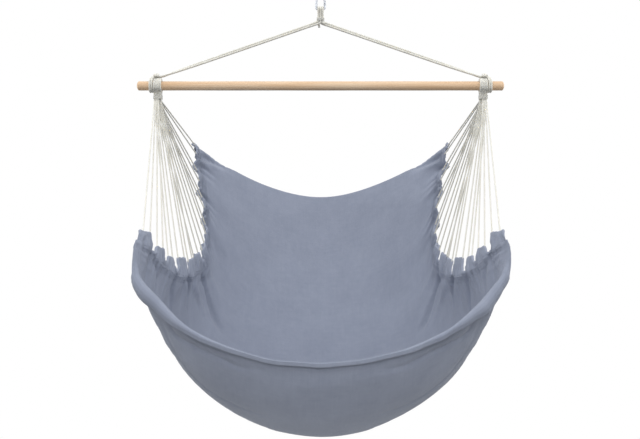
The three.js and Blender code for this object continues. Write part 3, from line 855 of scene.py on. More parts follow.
# Where each tab of the hem starts and ends, as shares of the hem from its back corner.
TABS = (
    (0.01, 0.04),
    (0.1, 0.135),
    (0.195, 0.23),
    (0.29, 0.325),
    (0.385, 0.425),
    (0.475, 0.53),
    (0.565, 0.62),
    (0.66, 0.735),
    (0.79, 0.83),
    (0.87, 0.905),
    (0.945, 0.985),
)


@dataclass
class HemLine:
    """The line of the tabs' tips on the right side, and the middle line of the cloth."""

    measures: Measures
    hem_shares: tuple[tuple[float, float, float], ...] = (
        (0.8781, 0.4376, -0.1433),
        (0.842, 0.3906, -0.233),
        (0.7968, 0.3459, -0.3392),
        (0.772, 0.3, -0.43),
        (0.7652, 0.2082, -0.4967),
        (0.7856, 0.0729, -0.5241),
        (0.8194, -0.0918, -0.5263),
        (0.8533, -0.2094, -0.5109),
        (0.9007, -0.3059, -0.4803),
        (0.9526, -0.3718, -0.442),
        (0.9865, -0.4153, -0.4245),
    )
    middle_shares: tuple[tuple[float, float, float], ...] = (
        (0, 0.4729, -0.3162),
        (0, 0.4188, -0.4584),
        (0, 0.3388, -0.6105),
        (0, 0.2259, -0.7615),
        (0, 0.0906, -0.8884),
        (0, -0.0565, -0.9683),
        (0, -0.1976, -1),
        (0, -0.3388, -0.9792),
        (0, -0.4447, -0.9179),
        (0, -0.5094, -0.8337),
        (0, -0.5271, -0.7648),
    )

    def __post_init__(self) -> None:
        """Draws both lines and sets the point that the fan spreads from."""
        m = self.measures
        size = np.array([m.fan_span / 2, m.seat_depth, m.seat_drop])
        bar = np.array([0.0, 0.0, -m.bar_drop])
        self.hem = smooth_curve(np.array(self.hem_shares) * size + bar)
        self.middle = smooth_curve(np.array(self.middle_shares) * size + bar)
        self.apex = m.bar_end - np.array([0.0, 0.0, m.neck_drop])

    def tips(self, along: Array) -> tuple[Array, Array]:
        """The tips at shares of the hem from its back corner, and the way down from them."""
        tip = along_line(self.hem, along)
        return tip, unit(tip - self.apex)


# The seat's fabric


def evened_out(rows: Array, passes: int) -> Array:
    """Vectors evened out with their neighbours, both ends kept.

    Args:
        rows: The vectors, by row.
        passes: How many times each takes its share of its neighbours.

    Returns:
        Array: The evened vectors.
    """
    rows = rows.copy()
    for _ in range(passes):
        rows[1:-1] = (rows[:-2] + 2 * rows[1:-1] + rows[2:]) / 4
    return rows


def rolled_edge(
    edge: Array, ahead: Array, facing: Array, radius: Array, turn: float, steps: int, tail: Sequence[float]
) -> tuple[list[Array], list[Array]]:
    """Rows that carry on a sheet past its edge and roll it over.

    Args:
        edge: The edge's points.
        ahead: The way on from the sheet at each point.
        facing: The way that the edge rolls towards.
        radius: The roll's radius at each point.
        turn: How far it turns, in degrees.
        steps: How many rows the turn has.
        tail: How far past the turn each row of its flat end lies.

    Returns:
        tuple[list[Array], list[Array]]: The rows and their ways out of the sheet.
    """
    rows, ways = [], []
    for angle in np.linspace(0, math.radians(turn), steps + 1)[1:]:
        rows.append(edge + (ahead * math.sin(angle) + facing * (1 - math.cos(angle))) * radius[:, None])
        ways.append(facing * math.cos(angle) - ahead * math.sin(angle))
    last, way, onward = rows[-1], ways[-1], ahead * math.cos(angle) + facing * math.sin(angle)
    return rows + [last + onward * step for step in tail], ways + [way for _ in tail]


@dataclass(frozen=True)
class Fold:
    """One fold or crease of the cloth, along a line of places (along, across) from its start to its end."""

    line: tuple[tuple[float, float], ...]
    width: float
    depth: float


@dataclass(frozen=True)
class Undulation:
    """A gentle unevenness of the cloth: how high and long its waves are, its seed and how many it sums."""

    height: float
    wavelength: float
    seed: int
    waves: int = 6

    def at(self, points: Array) -> Array:
        """Its height at each point."""
        return self.height * ripple(points, self.wavelength, self.seed, self.waves)


@dataclass
class SeatFabric:
    """The cloth and its two gathered hems, one sheet in truth, worked out on the right side and mirrored."""

    measures: Measures
    lines: HemLine
    finishes: Finishes
    cloth_thickness: float = 1.6
    hem_height: float = 34.0
    hem_thickness: float = 7.0
    # The rows of stitches, by how far below the tips they lie: two straight ones and a zigzag.
    seams: tuple[float, ...] = (45.0, 52.0)
    zigzag: tuple[float, float] = (36.0, 39.5)
    stitch: float = 2.6
    stitch_pitch: float = 3.5
    thread_radius: float = 0.42
    thread_sides: int = 5
    # How far a stitch's ends stand off the cloth, how much further its middle does, and what the rows of
    # stitches leave free at the hem's two ends.
    stitch_lift: float = 0.15
    stitch_arch: float = 0.3
    seam_start: float = 2.0
    seam_end: float = 4.0
    seam_margin_rows: int = 6
    rows: int = 360
    cloth_columns: int = 96
    hem_columns: int = 14
    # The cloth under the hem is evened out over these columns either side of where the two join.
    joint_columns: tuple[int, int] = (9, 6)
    joint_passes: int = 14
    # The back corner is drawn out this far, less and less over its first rows.
    corner_reach: float = 8.0
    corner_rows: int = 12
    corner_stretch: tuple[tuple[float, float], ...] = ((0, 12), (30, 110))
    # How unevenly the cloth hangs, crinkles by the hem and ends at its rim, and how the tabs' edges fray.
    hang: tuple[Undulation, ...] = (Undulation(2.2, 260, 5), Undulation(0.9, 110, 6))
    crinkle: Undulation = Undulation(1.3, 22, 7, 10)
    rim_hang: Undulation = Undulation(1.4, 120, 8)
    rim_wander: Undulation = Undulation(2.2, 130, 31)
    roll_swell: Undulation = Undulation(0.18, 70, 15)
    fray: tuple[Undulation, ...] = (Undulation(1.3, 14, 21), Undulation(1.1, 7, 22))
    # The gathers under the tabs, by how far they push the sheet out: one broad swell to a tab and finer ones.
    swell: float = 3.6
    back_swell: float = 3.0
    pucker: float = 1.5
    back_pucker: float = 2.0
    puckers_per_tab: int = 6
    fine_gather: float = 2.0
    fine_gathers_per_tab: int = 3
    # Where the finer ones rise and fade, by how far they lie below the tips.
    pucker_stretch: tuple[tuple[float, float], ...] = ((0, 14), (24, 60))
    fine_stretch: tuple[tuple[float, float], ...] = ((6, 28), (45, 120))
    # Where along the hem the back's gathers end and the calmer front's begin, and how much calmer it is.
    back_end: tuple[float, float] = (0.45, 0.62)
    calm_start: tuple[float, float] = (0.55, 0.8)
    calm: float = 0.45
    # The quilting of the tabs, and the ridge that each straight seam raises.
    quilt: float = 0.5
    quilts_per_tab: int = 9
    seam_ridge: float = 0.9
    seam_ridge_width: float = 3.0
    # The front rim's roll and how far it leans out, from the middle of the seat to the hem.
    roll_turn: float = 165.0
    roll_rows: int = 14
    roll_tail: tuple[float, ...] = (3.0, 6.0, 9.0)
    rim_passes: int = 24
    wander_rows: int = 16
    # The back edge's small hem: its radius in the middle, what the corner adds, its turn, rows and flat end.
    back_radius: float = 2.2
    back_radius_gain: float = 3.0
    back_turn: float = 150.0
    back_turn_rows: int = 5
    back_tail: tuple[float, ...] = (4.0, 8.0)
    rim_shares: tuple[float, ...] = (0, 0.2, 0.32, 0.5, 0.62, 0.74, 0.84, 0.93, 1)
    rim_radius: tuple[float, ...] = (1.8, 2, 3.5, 7.5, 12.5, 13.5, 8, 4, 1.5)
    rim_lean: tuple[float, ...] = (4, 4, 10, 12, 17, 13, 6, 3, 0)
    # How the cloth leaves the hem and the middle line, from the back to the front.
    section_shares: tuple[float, ...] = (0, 0.15, 0.3, 0.45, 0.6, 0.75, 0.9, 1)
    section_out: tuple[float, ...] = (-80, -65, -15, 50, 94, 108, 80, 36)
    section_forward: tuple[float, ...] = (-8, -6, 0, 15, 25, 25, 20, 20)
    section_down: tuple[float, ...] = (48, 90, 140, 190, 215, 220, 195, 160)
    section_middle: tuple[float, ...] = (150, 170, 210, 240, 250, 250, 250, 250)
    # The notches between the tabs with their creases, and how far each tab's two corners stand up.
    notch_depths: tuple[float, ...] = (16, 14, 17, 15, 18, 22, 28, 24, 19, 26)
    notch_creases: tuple[float, ...] = (7, 8, 7, 8, 7, 5, 5, 4, 3, 2.5)
    crease_width: float = 6.0
    crease_spread: float = 0.11
    crease_lengths: tuple[float, ...] = (60, 70, 60, 80, 90, 110, 150, 170, 120, 170)
    tab_rises: tuple[tuple[float, float], ...] = (
        (2, 2), (2, 1), (3, 2), (4, 3), (14, 10), (16, 18), (12, 10), (17, 15), (6, 2), (8, 1), (16, 1)
    )
    # The shares of a tab's height where its rings have points, close together where its edge is round.
    tab_levels: tuple[float, ...] = (0, 0.02, 0.06, 0.12, 0.2, 0.3, 0.42, 0.56, 0.72, 0.88, 1)
    folds: tuple[Fold, ...] = (
        Fold(((0.03, 1.0), (0.022, 0.94), (0.016, 0.86), (0.01, 0.76), (0.004, 0.66)), 12, 18),
        Fold(((0.06, 1.0), (0.045, 0.94), (0.036, 0.86), (0.026, 0.77)), 7, -5),
        Fold(((1.0, 0.86), (0.96, 0.8), (0.93, 0.75), (0.9, 0.68)), 34, 9),
        Fold(
            ((0.5, 1.0), (0.455, 0.96), (0.421, 0.9), (0.4, 0.8), (0.401, 0.71), (0.415, 0.62), (0.43, 0.54)),
            9,
            15,
        ),
        Fold(((0.44, 1.0), (0.4, 0.95), (0.37, 0.88), (0.355, 0.75), (0.36, 0.62)), 15, -8),
        Fold(((0.56, 0.98), (0.5, 0.9), (0.46, 0.8), (0.45, 0.7)), 13, -7),
        Fold(((0.922, 1.0), (0.9, 0.97), (0.88, 0.94), (0.868, 0.89), (0.86, 0.82)), 6, 5),
        Fold(((0.76, 1.0), (0.745, 0.95), (0.73, 0.9), (0.72, 0.82)), 7, 8),
        Fold(((0.64, 1.0), (0.615, 0.97), (0.59, 0.92), (0.575, 0.84)), 7, 9),
        Fold(((0.93, 0.995), (0.96, 0.989), (1.0, 0.985)), 3, -1.8),
        Fold(((0.915, 0.965), (0.953, 0.957), (1.0, 0.95)), 3, -1.8),
        Fold(((0.9, 0.945), (0.923, 0.935), (0.96, 0.925), (1.0, 0.915)), 4, -1.6),
        Fold(
            ((0.985, 0.62), (0.955, 0.575), (0.963, 0.468), (0.97, 0.355), (0.967, 0.281), (0.975, 0.2)),
            7,
            -5,
        ),
        Fold(((0.95, 0.66), (0.9, 0.56), (0.868, 0.47), (0.86, 0.38), (0.856, 0.28), (0.86, 0.18)), 6, -4),
        Fold(((0.87, 0.66), (0.82, 0.58), (0.77, 0.45), (0.77, 0.3), (0.775, 0.15)), 70, -11),
    )

    def __post_init__(self) -> None:
        """Works out the sheet of the right side for both sides' own folds."""
        self.along = np.linspace(0, 1, self.rows)
        reach = np.linspace(0, 1, self.cloth_columns)
        self.across = 1 - (1 - reach) ** 1.35
        self.below = np.linspace(self.hem_height, 0, self.hem_columns + 1)[1:]
        self.plain_grid = self.base_grid()
        self.reliefs = {side: self.relief(side) for side in Side}
        self.sheets = {side: self.folded_grid(side) for side in Side}
        self.depths = {side: self.hem_distance(self.sheets[side][0]) for side in Side}

    def base_grid(self) -> Array:
        """The sheet before its folds: cloth columns from the middle out, then hem columns up to the tips.

        Returns:
            Array: Points by row and column.
        """
        tip, down = self.lines.tips(self.along)
        foot = tip + down * (self.hem_height + self.measures.clearance + self.cloth_thickness / 2)
        middle = along_line(self.lines.middle, self.along)
        outward, forward, drop, aside = (
            soft_table(self.section_shares, values, self.along)
            for values in (self.section_out, self.section_forward, self.section_down, self.section_middle)
        )
        near_hem = foot + np.stack([outward, -forward, -drop], axis=-1)
        near_middle = np.column_stack([aside, middle[:, 1:]])
        u = self.across[None, :, None]
        cloth = (
            (1 - u) ** 3 * middle[:, None]
            + 3 * (1 - u) ** 2 * u * near_middle[:, None]
            + 3 * (1 - u) * u**2 * near_hem[:, None]
            + u**3 * foot[:, None]
        )
        hem = tip[:, None] + down[:, None] * self.below[None, :, None]
        grid = np.concatenate([cloth, hem], axis=1)
        inward, upward = self.joint_columns
        part = grid[:, self.cloth_columns - inward : self.cloth_columns + upward]
        for _ in range(self.joint_passes):
            part[:, 1:-1] += 0.5 * ((part[:, :-2] + part[:, 2:]) / 2 - part[:, 1:-1])
        reach = self.corner_reach * band(self.hem_distance(grid)[0], *self.corner_stretch)
        count = self.corner_rows
        share = (1 - np.arange(count) / count) ** 2
        grid[:count] += share[:, None, None] * reach[None, :, None] * unit(grid[0] - grid[count])[None]
        return grid

    @staticmethod
    def normals(grid: Array) -> Array:
        """The way out of the sheet, away from the sitter.

        Args:
            grid: Points by row and column.

        Returns:
            Array: Unit normals.
        """
        ahead = np.gradient(grid, axis=0)
        aside = np.gradient(grid, axis=1)
        aside[:, 0] = [1.0, 0.0, 0.0]
        return unit(np.cross(aside, ahead))

    def tab_phase(self) -> Array:
        """Which tab each row stands at: a whole number in a tab's middle, and half way at a notch.

        Returns:
            Array: The phase of each row.
        """
        places, phases = [0.0], [-0.4]
        for index, (start, end) in enumerate(TABS):
            if index:
                places.append((TABS[index - 1][1] + start) / 2)
                phases.append(index - 0.5)
            places.append((start + end) / 2)
            phases.append(float(index))
        places.append(1.0)
        phases.append(len(TABS) - 0.6)
        return np.interp(self.along, places, phases)

    def notches(self) -> Array:
        """How deep the tips are cut back at each row.

        Returns:
            Array: Depths in millimetres.
        """
        depth = np.zeros(self.rows)
        for (_, left), (right, _), deep in zip(TABS, TABS[1:], self.notch_depths):
            centre, half = (left + right) / 2, (right - left) / 2
            nearness = np.clip(1 - np.abs(self.along - centre) / half, 0, 1)
            depth = np.maximum(depth, deep * ease(0.0, 0.62, nearness) ** 0.8)
        return depth

    def hem_distance(self, grid: Array) -> Array:
        """How far each point lies below the tips, along its row of points."""
        steps = np.linalg.norm(np.diff(grid, axis=1), axis=-1)
        return np.pad(np.cumsum(steps[:, ::-1], axis=1)[:, ::-1], ((0, 0), (0, 1)))

    def notch_creases_relief(self, depth: Array, random: np.random.Generator) -> Array:
        """How far the creases that run down from the notches push the sheet out.

        Args:
            depth: How far each point lies below the tips.
            random: What makes each crease a little its own.

        Returns:
            Array: Distances along the normals.
        """
        total = np.zeros(depth.shape)
        length = distances(self.lines.hem)[-1]
        width = self.crease_width + self.crease_spread * depth
        gaps = zip(TABS, TABS[1:], self.notch_creases, self.crease_lengths)
        for (_, start), (end, _), strength, reach in gaps:
            drift = random.uniform(-0.1, 0.1)
            offset = (self.along[:, None] - (start + end) / 2) * length + drift * depth
            fade = band(depth, (2, 20), (0.4 * reach, reach))
            total += strength * random.uniform(0.85, 1.15) * np.exp(-((offset / width) ** 2)) * fade
        return total

    def gathers_relief(self, depth: Array, side: Side) -> Array:
        """How far the gathers under the tabs push the sheet out: broad ones, puckers and fine ones.

        Args:
            depth: How far each point lies below the tips.
            side: The side, whose gathers stray in their own way.

        Returns:
            Array: Distances along the normals.
        """
        turn = 2 * math.pi
        phase = self.tab_phase()[:, None]
        back = 1 - ease(*self.back_end, self.along)[:, None]
        calm = 1 - self.calm * ease(*self.calm_start, self.along)[:, None]
        wave = -np.cos(turn * phase)
        swell = self.swell * calm * wave * np.maximum(ease(8, 40, depth), back) * (1 - ease(50, 190, depth))
        swell += self.back_swell * wave * back * (1 - ease(12, 60, depth))
        stray = 0.6 * np.sin(phase * 9.0 + side.value)
        wave = np.cos(turn * (phase * self.puckers_per_tab + stray))
        pucker = (self.pucker + self.back_pucker * back) * wave * band(depth, *self.pucker_stretch)
        stray = 0.35 * np.sin(phase * 5.0 + 2 * side.value)
        wave = np.cos(turn * (phase * self.fine_gathers_per_tab + stray))
        return swell + pucker + self.fine_gather * wave * band(depth, *self.fine_stretch)

    def relief(self, side: Side) -> Array:
        """How far the folds push each point out of the plain sheet.

        Args:
            side: The side, which has folds of its own.

        Returns:
            Array: Distances along the normals.
        """
        grid = self.plain_grid
        depth = self.hem_distance(grid)
        random = np.random.default_rng(11 + side.value)
        total = self.notch_creases_relief(depth, random) + self.gathers_relief(depth, side)
        for fold in self.folds:
            total += self.fold_relief(fold, grid)
        points = mirrored(grid, side)
        total += sum(wave.at(points) for wave in self.hang)
        total += self.crinkle.at(points) * (1 - ease(10, 90, depth))
        lean = soft_table(self.rim_shares, self.rim_lean, np.append(self.across, np.ones(self.hem_columns)))
        total -= (lean[None, :] + self.rim_hang.at(points)) * ease(0.9, 1.0, self.along)[:, None]
        for seam in self.seams:
            total += self.seam_ridge * np.exp(-(((depth - seam) / self.seam_ridge_width) ** 2))
        return total

    def fold_relief(self, fold: Fold, grid: Array) -> Array:
        """How far one fold pushes the sheet out.

        Args:
            fold: The fold.
            grid: Points by row and column.

        Returns:
            Array: Distances along the normals.
        """
        line = smooth_curve([(a, u, 0.0) for a, u in fold.line], 16)
        rows = np.clip(line[:, 0], 0, 1) * (self.rows - 1)
        columns = np.interp(line[:, 1], self.across, np.arange(self.cloth_columns))
        spots = grid[np.round(rows).astype(int), np.round(columns).astype(int)]
        share = np.linspace(0, 1, len(spots))
        taper = np.sin(math.pi * np.clip(share, 0.02, 0.98)) ** 0.6
        gaps = np.linalg.norm(grid[:, :, None, :] - spots[None, None], axis=-1)
        nearest = np.argmin(gaps, axis=-1)
        gap = np.take_along_axis(gaps, nearest[..., None], axis=-1)[..., 0]
        return fold.depth * taper[nearest] * np.exp(-((gap / fold.width) ** 2))

    def folded_grid(self, side: Side) -> tuple[Array, Array]:
        """The right side's sheet with the folds of one side, and its normals.

        Args:
            side: The side whose folds it has.

        Returns:
            tuple[Array, Array]: Points and unit normals.
        """
        normals = self.normals(self.plain_grid)
        relief = self.reliefs[side]
        if side is Side.LEFT:
            middle = self.reliefs[Side.RIGHT][:, :1]
            fade = 1 - ease(0, 0.2, np.concatenate([self.across, np.ones(self.hem_columns)]))[None, :]
            relief = relief + (middle - relief[:, :1]) * fade
        grid = self.plain_grid + normals * relief[..., None]
        return grid, self.normals(grid)

    def hem_point(self, side: Side, along: float, below: float) -> Array:
        """A point in the middle of the hem, on the right side.

        Args:
            side: The side whose folds count.
            along: The share of the hem from its back corner.
            below: How far it lies below the tips.

        Returns:
            Array: The point.
        """
        row = along * (self.rows - 1)
        low = min(int(row), self.rows - 2)
        first, second = (self.at_depth(side, 0, near, below) for near in (low, low + 1))
        return first + (second - first) * (row - low)

    def at_depth(self, side: Side, kind: int, row: int, below: Array | float) -> Array:
        """Where a row of a side's sheet lies, or with kind 1 its normal, so far below the tips."""
        return between(self.depths[side][row, ::-1], self.sheets[side][kind][row, ::-1], below)

    def rolled(self, grid: Array, normals: Array, side: Side) -> tuple[Array, Array]:
        """The cloth with its front rim rolled out and its back edge turned over.

        Args:
            grid: The folded sheet.
            normals: Its normals.
            side: The side, whose rim wanders in its own way.

        Returns:
            tuple[Array, Array]: Points and normals with the extra rows.
        """
        u = self.across
        sheet, out = grid[:, : self.cloth_columns].copy(), normals[:, : self.cloth_columns]
        edge = mirrored(sheet[-1], side)
        radius = soft_table(self.rim_shares, self.rim_radius, u) * (1 + self.roll_swell.at(edge))
        ahead = unit(evened_out(unit(sheet[-1] - sheet[-3]), self.rim_passes))
        facing = unit(evened_out(out[-1], self.rim_passes))
        wander = self.rim_wander.at(edge) * (1 - ease(0.7, 0.9, u))
        rise = ease(0, self.wander_rows - 1, np.arange(float(self.wander_rows)))[:, None, None]
        sheet[-self.wander_rows :] += ahead[None] * wander[None, :, None] * rise
        front, front_out = rolled_edge(
            sheet[-1], ahead, facing, radius, self.roll_turn, self.roll_rows, self.roll_tail
        )
        sheet, out = sheet[2:], out[2:]
        behind = unit(sheet[0] - sheet[2])
        small = self.back_radius + self.back_radius_gain * ease(0.55, 0.95, u)
        back, back_out = rolled_edge(
            sheet[0], behind, out[0], small, self.back_turn, self.back_turn_rows, self.back_tail
        )
        return np.array([*back[::-1], *sheet, *front]), np.array([*back_out[::-1], *out, *front_out])

    def build_cloth(self) -> bpy.types.Object:
        """Makes the seat's cloth from both halves.

        Returns:
            bpy.types.Object: The cloth.
        """
        left, right = (
            [mirrored(values, side) for values in self.rolled(*self.sheets[side], side)] for side in Side
        )
        sheet, out = (np.concatenate([far[:, :0:-1], near], axis=1) for far, near in zip(left, right))
        rows, columns = sheet.shape[:2]
        steps = np.linalg.norm(np.diff(sheet, axis=1), axis=-1)
        across = np.pad(np.cumsum(steps, axis=1), ((0, 0), (1, 0)))
        across -= across[:, columns // 2 : columns // 2 + 1]
        long = distances(sheet[:, columns // 2])
        places = np.stack([across, np.broadcast_to(long[:, None], across.shape)], axis=-1).reshape(-1, 2)
        half = self.cloth_thickness / 2
        vertices = np.concatenate([sheet + out * half, sheet - out * half]).reshape(-1, 3)
        index = np.arange(rows * columns).reshape(rows, columns)
        rim = np.concatenate([index[0], index[1:, -1], index[-1, -2::-1], index[-2:0:-1, 0]]).tolist()
        faces = grid_faces(rows, columns)
        count = rows * columns
        skin = flipped(faces) + [tuple(index + count for index in face) for face in faces]
        skin += [(start, end, end + count, start + count) for start, end in zip(rim, rim[1:] + rim[:1])]
        cloth = MeshParts().add(vertices, skin, np.vstack([places, places])).make("canvas_seat")
        finish_piece(cloth, self.finishes.canvas, Body.SEAT, "seat_cloth")
        return cloth

    def build_hem(self, side: Side) -> bpy.types.Object:
        """Makes one gathered hem with its tabs.

        Args:
            side: The side.

        Returns:
            bpy.types.Object: The hem.
        """
        tip, down = self.lines.tips(self.along)
        place = mirrored(tip, side)
        notch = self.notches()
        rise = np.interp(self.along, np.ravel(TABS), np.ravel(self.tab_rises)) * (1 - ease(0, 12, notch))
        top = notch - rise + sum(wave.at(place) for wave in self.fray)
        low = self.depths[side][:, self.cloth_columns - 2]
        levels = np.array(self.tab_levels)
        half, foot_half = self.hem_thickness / 2, 0.5
        phase = self.tab_phase()
        rings = []
        for row in range(self.rows):
            height = low[row] - top[row]
            from_edge = levels * height
            below = top[row] + from_edge
            centre = self.at_depth(side, 0, row, below) + down[row] * np.minimum(below, 0)[:, None]
            way = unit(self.at_depth(side, 1, row, below))
            edge = np.sqrt(1 - (1 - np.clip(from_edge / half, 0, 1)) ** 2)
            thick = edge * (half + (foot_half - half) * ease(8, 0.92 * height, from_edge))
            wave = self.quilt * math.cos(2 * math.pi * self.quilts_per_tab * phase[row])
            quilt = wave * band(from_edge, (2, 10), (18, 32))
            outer, inner = centre + way * (thick + quilt)[:, None], centre - way * (thick - quilt)[:, None]
            rings.append(np.concatenate([outer[::-1], inner[1:]]))
        rings = np.array(rings)
        shape = rings.shape[:2]
        faces = closed_faces(*shape)
        if side is Side.LEFT:
            rings, faces = mirrored(rings, side), flipped(faces)
        around = np.broadcast_to(distances(rings[self.rows // 2])[None, :], shape)
        run = np.broadcast_to(distances(self.sheets[side][0][:, -6])[:, None], shape)
        parts = MeshParts().add(rings.reshape(-1, 3), faces, np.stack([around, run], axis=-1).reshape(-1, 2))
        self.sew(side, parts)
        hem = parts.make(f"canvas_hem_{side.word}")
        return finish_piece(hem, self.finishes.canvas, Body.SEAT, f"{side.word}_side_hem")

    def sew(self, side: Side, parts: MeshParts) -> None:
        """Adds two straight rows and one zigzag row of stitches under the tabs, on both faces.

        Args:
            side: The side.
            parts: Where the stitches go.
        """
        rows = range(self.seam_margin_rows, self.rows - self.seam_margin_rows)
        for levels in (*((seam, seam) for seam in self.seams), self.zigzag):
            lines = [np.array([self.at_depth(side, 0, row, level) for row in rows]) for level in levels]
            ways = unit(np.array([self.at_depth(side, 1, row, levels[0]) for row in rows]))
            run = distances(lines[0])
            length = self.stitch if levels[0] == levels[1] else self.stitch_pitch
            for face in (-1, 1):
                lift = face * (self.cloth_thickness / 2 + self.stitch_lift)
                starts = np.arange(self.seam_start, run[-1] - self.seam_end, self.stitch_pitch)
                for number, start in enumerate(starts):
                    first, last = (lines[0], lines[1]) if number % 2 else (lines[1], lines[0])
                    end = start + length
                    way = between(run, ways, np.array([start, end]))
                    ends = np.array([between(run, first, start), between(run, last, end)]) + way * lift
                    middle = ends.mean(axis=0) + way[1] * face * self.stitch_arch
                    path = mirrored(np.array([ends[0], middle, ends[1]]), side)
                    parts.add_tube(path, plain(self.thread_radius), self.thread_sides)

    def build(self) -> None:
        """Makes the hems and the cloth."""
        for side in Side:
            self.build_hem(side)
        self.build_cloth()


# Cords


@dataclass
class CordFan:
    """One side's fan of cord loops, the bundle's eye over the bar and the whipping under it."""

    measures: Measures
    fabric: SeatFabric
    finishes: Finishes
    side: Side
    sink: float = 7.0
    foot_cut: float = 3.5
    neck_bend: float = 10.0
    neck_stagger: float = 4.0
    step: float = 2.2
    sides: int = 12
    lay: float = 9.0
    groove: float = 0.045
    foot_points: int = 14
    eye_thickness: float = 8.5
    eye_layers: int = 3
    eye_fullness: float = 1.06
    eye_step: float = 1.6
    # How far the eye's cords stray sideways, how far past half a turn they follow the bar, in radians, and
    # how far from the middle the innermost ones stand in the neck.
    eye_wander: float = 0.5
    eye_overrun: float = 0.45
    eye_inner_foot: float = 1.4
    # The whipping's thread, and its drawn radius as a share of it: just over half, so that its turns touch.
    thread: float = 1.15
    thread_share: float = 0.53
    thread_sides: int = 8

    def neck_place(self, leg: int) -> Array:
        """Where a leg of cord stands in the neck.

        Args:
            leg: Its number from the back of the fan.

        Returns:
            Array: Its place on the right side.
        """
        m = self.measures
        row = leg // m.neck_columns
        last_of_row = min((row + 1) * m.neck_columns, 2 * len(TABS)) - 1
        across = (m.neck_columns - 1) / 2 - (last_of_row - leg)
        back = (m.neck_rows - 1) / 2 - row
        stagger = min(row, m.neck_rows - 1 - row) * self.neck_stagger
        return np.array(
            [
                m.fan_span / 2 + across * m.cord_pitch,
                back * m.cord_pitch,
                -m.bar_drop - m.neck_drop - stagger,
            ]
        )

    def loop_path(self, loop: int) -> Array:
        """The way of one loop: down from the neck, through its tab and back up.

        Args:
            loop: Its number from the back of the fan.

        Returns:
            Array: Its centreline on the right side.
        """
        m = self.measures
        legs = []
        for leg in (2 * loop, 2 * loop + 1):
            neck = self.neck_place(leg)
            top = np.array([neck[0], neck[1], -m.bar_drop - m.neck_drop - m.clearance / 2])
            legs.append((top, neck - np.array([0.0, 0.0, (m.whipping_height + self.neck_bend) / 2])))
        (top, corner), (other_top, other_corner) = legs
        shares = np.linspace(*TABS[loop], self.foot_points)
        feet = [self.fabric.hem_point(self.side, along, self.sink) for along in shares]
        return np.vstack(
            [
                top,
                rounded_corner(top, corner, feet[0], self.neck_bend / 2),
                rounded_corner(corner, feet[0], feet[1], self.foot_cut),
                *feet[2:-2],
                rounded_corner(feet[-2], feet[-1], other_corner, self.foot_cut),
                rounded_corner(feet[-1], other_corner, other_top, self.neck_bend / 2),
                other_top,
            ]
        )

    def build_loops(self) -> None:
        """Makes each loop as a laid cord."""
        diameter = self.measures.cord_diameter
        section = plied(diameter, self.lay, self.groove)
        for loop in range(len(TABS)):
            path = mirrored(evenly(self.loop_path(loop), self.step), self.side)
            name = f"{self.side.word}_fan_cord_{loop + 1:02d}"
            cord = MeshParts().add_tube(path, section, self.sides).make(f"cotton_{name}")
            finish_piece(cord, self.finishes.rope, Body.SEAT, name)

    def build_eye(self) -> None:
        """Makes the eye: layers of cord that run side by side over the bar and draw together below it."""
        m = self.measures
        parts = MeshParts()
        radius = m.cord_diameter / 2
        inner = m.bar_diameter / 2 + m.clearance + radius
        outer = m.bar_diameter / 2 + m.clearance + self.eye_thickness - radius
        random = np.random.default_rng(4)
        section = plied(m.cord_diameter * self.eye_fullness, self.lay, self.groove)
        layers = zip(
            np.linspace(inner, outer, self.eye_layers),
            np.linspace(self.eye_inner_foot, m.neck_half_depth - radius, self.eye_layers),
        )
        for reach, foot in layers:
            for index in range(m.neck_columns):
                x = (index - (m.neck_columns - 1) / 2) * m.cord_pitch
                wander = random.uniform(-self.eye_wander, self.eye_wander, 3)
                arc = [
                    (x + wander[0] * math.sin(2 * angle), -reach * math.cos(angle), reach * math.sin(angle))
                    for angle in np.linspace(-self.eye_overrun, math.pi + self.eye_overrun, 13)
                ]
                leg = [
                    (x, -foot, -m.neck_drop + m.clearance / 2),
                    (x + wander[1] * 0.3, -foot * 1.1, -m.neck_drop + 4.0),
                    (x + wander[1] * 0.6, -foot * 0.5 - reach * 0.32, -reach * 0.86),
                ]
                back = [(x + wander[2] * (px - x), -y, z) for px, y, z in leg[::-1]]
                path = evenly(smooth_curve([*leg, *arc, *back], 8) + m.bar_end, self.eye_step)
                parts.add_tube(mirrored(path, self.side), section, self.sides)
        name = f"{self.side.word}_bundle_eye"
        finish_piece(parts.make(f"cotton_{name}"), self.finishes.rope, Body.SEAT, name)

    def build_whipping(self) -> None:
        """Makes the thread that is wound round the neck."""
        m = self.measures
        path = wound_thread(m.neck_half_width, m.neck_half_depth, m, m.whipping_height, self.thread)
        path = mirrored(path + m.bar_end - np.array([0.0, 0.0, m.neck_drop]), self.side)
        name = f"{self.side.word}_whipping"
        section = plain(self.thread * self.thread_share)
        whipping = MeshParts().add_tube(path, section, self.thread_sides).make(f"cotton_{name}")
        finish_piece(whipping, self.finishes.rope, Body.SEAT, name)

    def build(self) -> None:
        """Makes the loops, the eye and the whipping."""
        self.build_loops()
        self.build_eye()
        self.build_whipping()


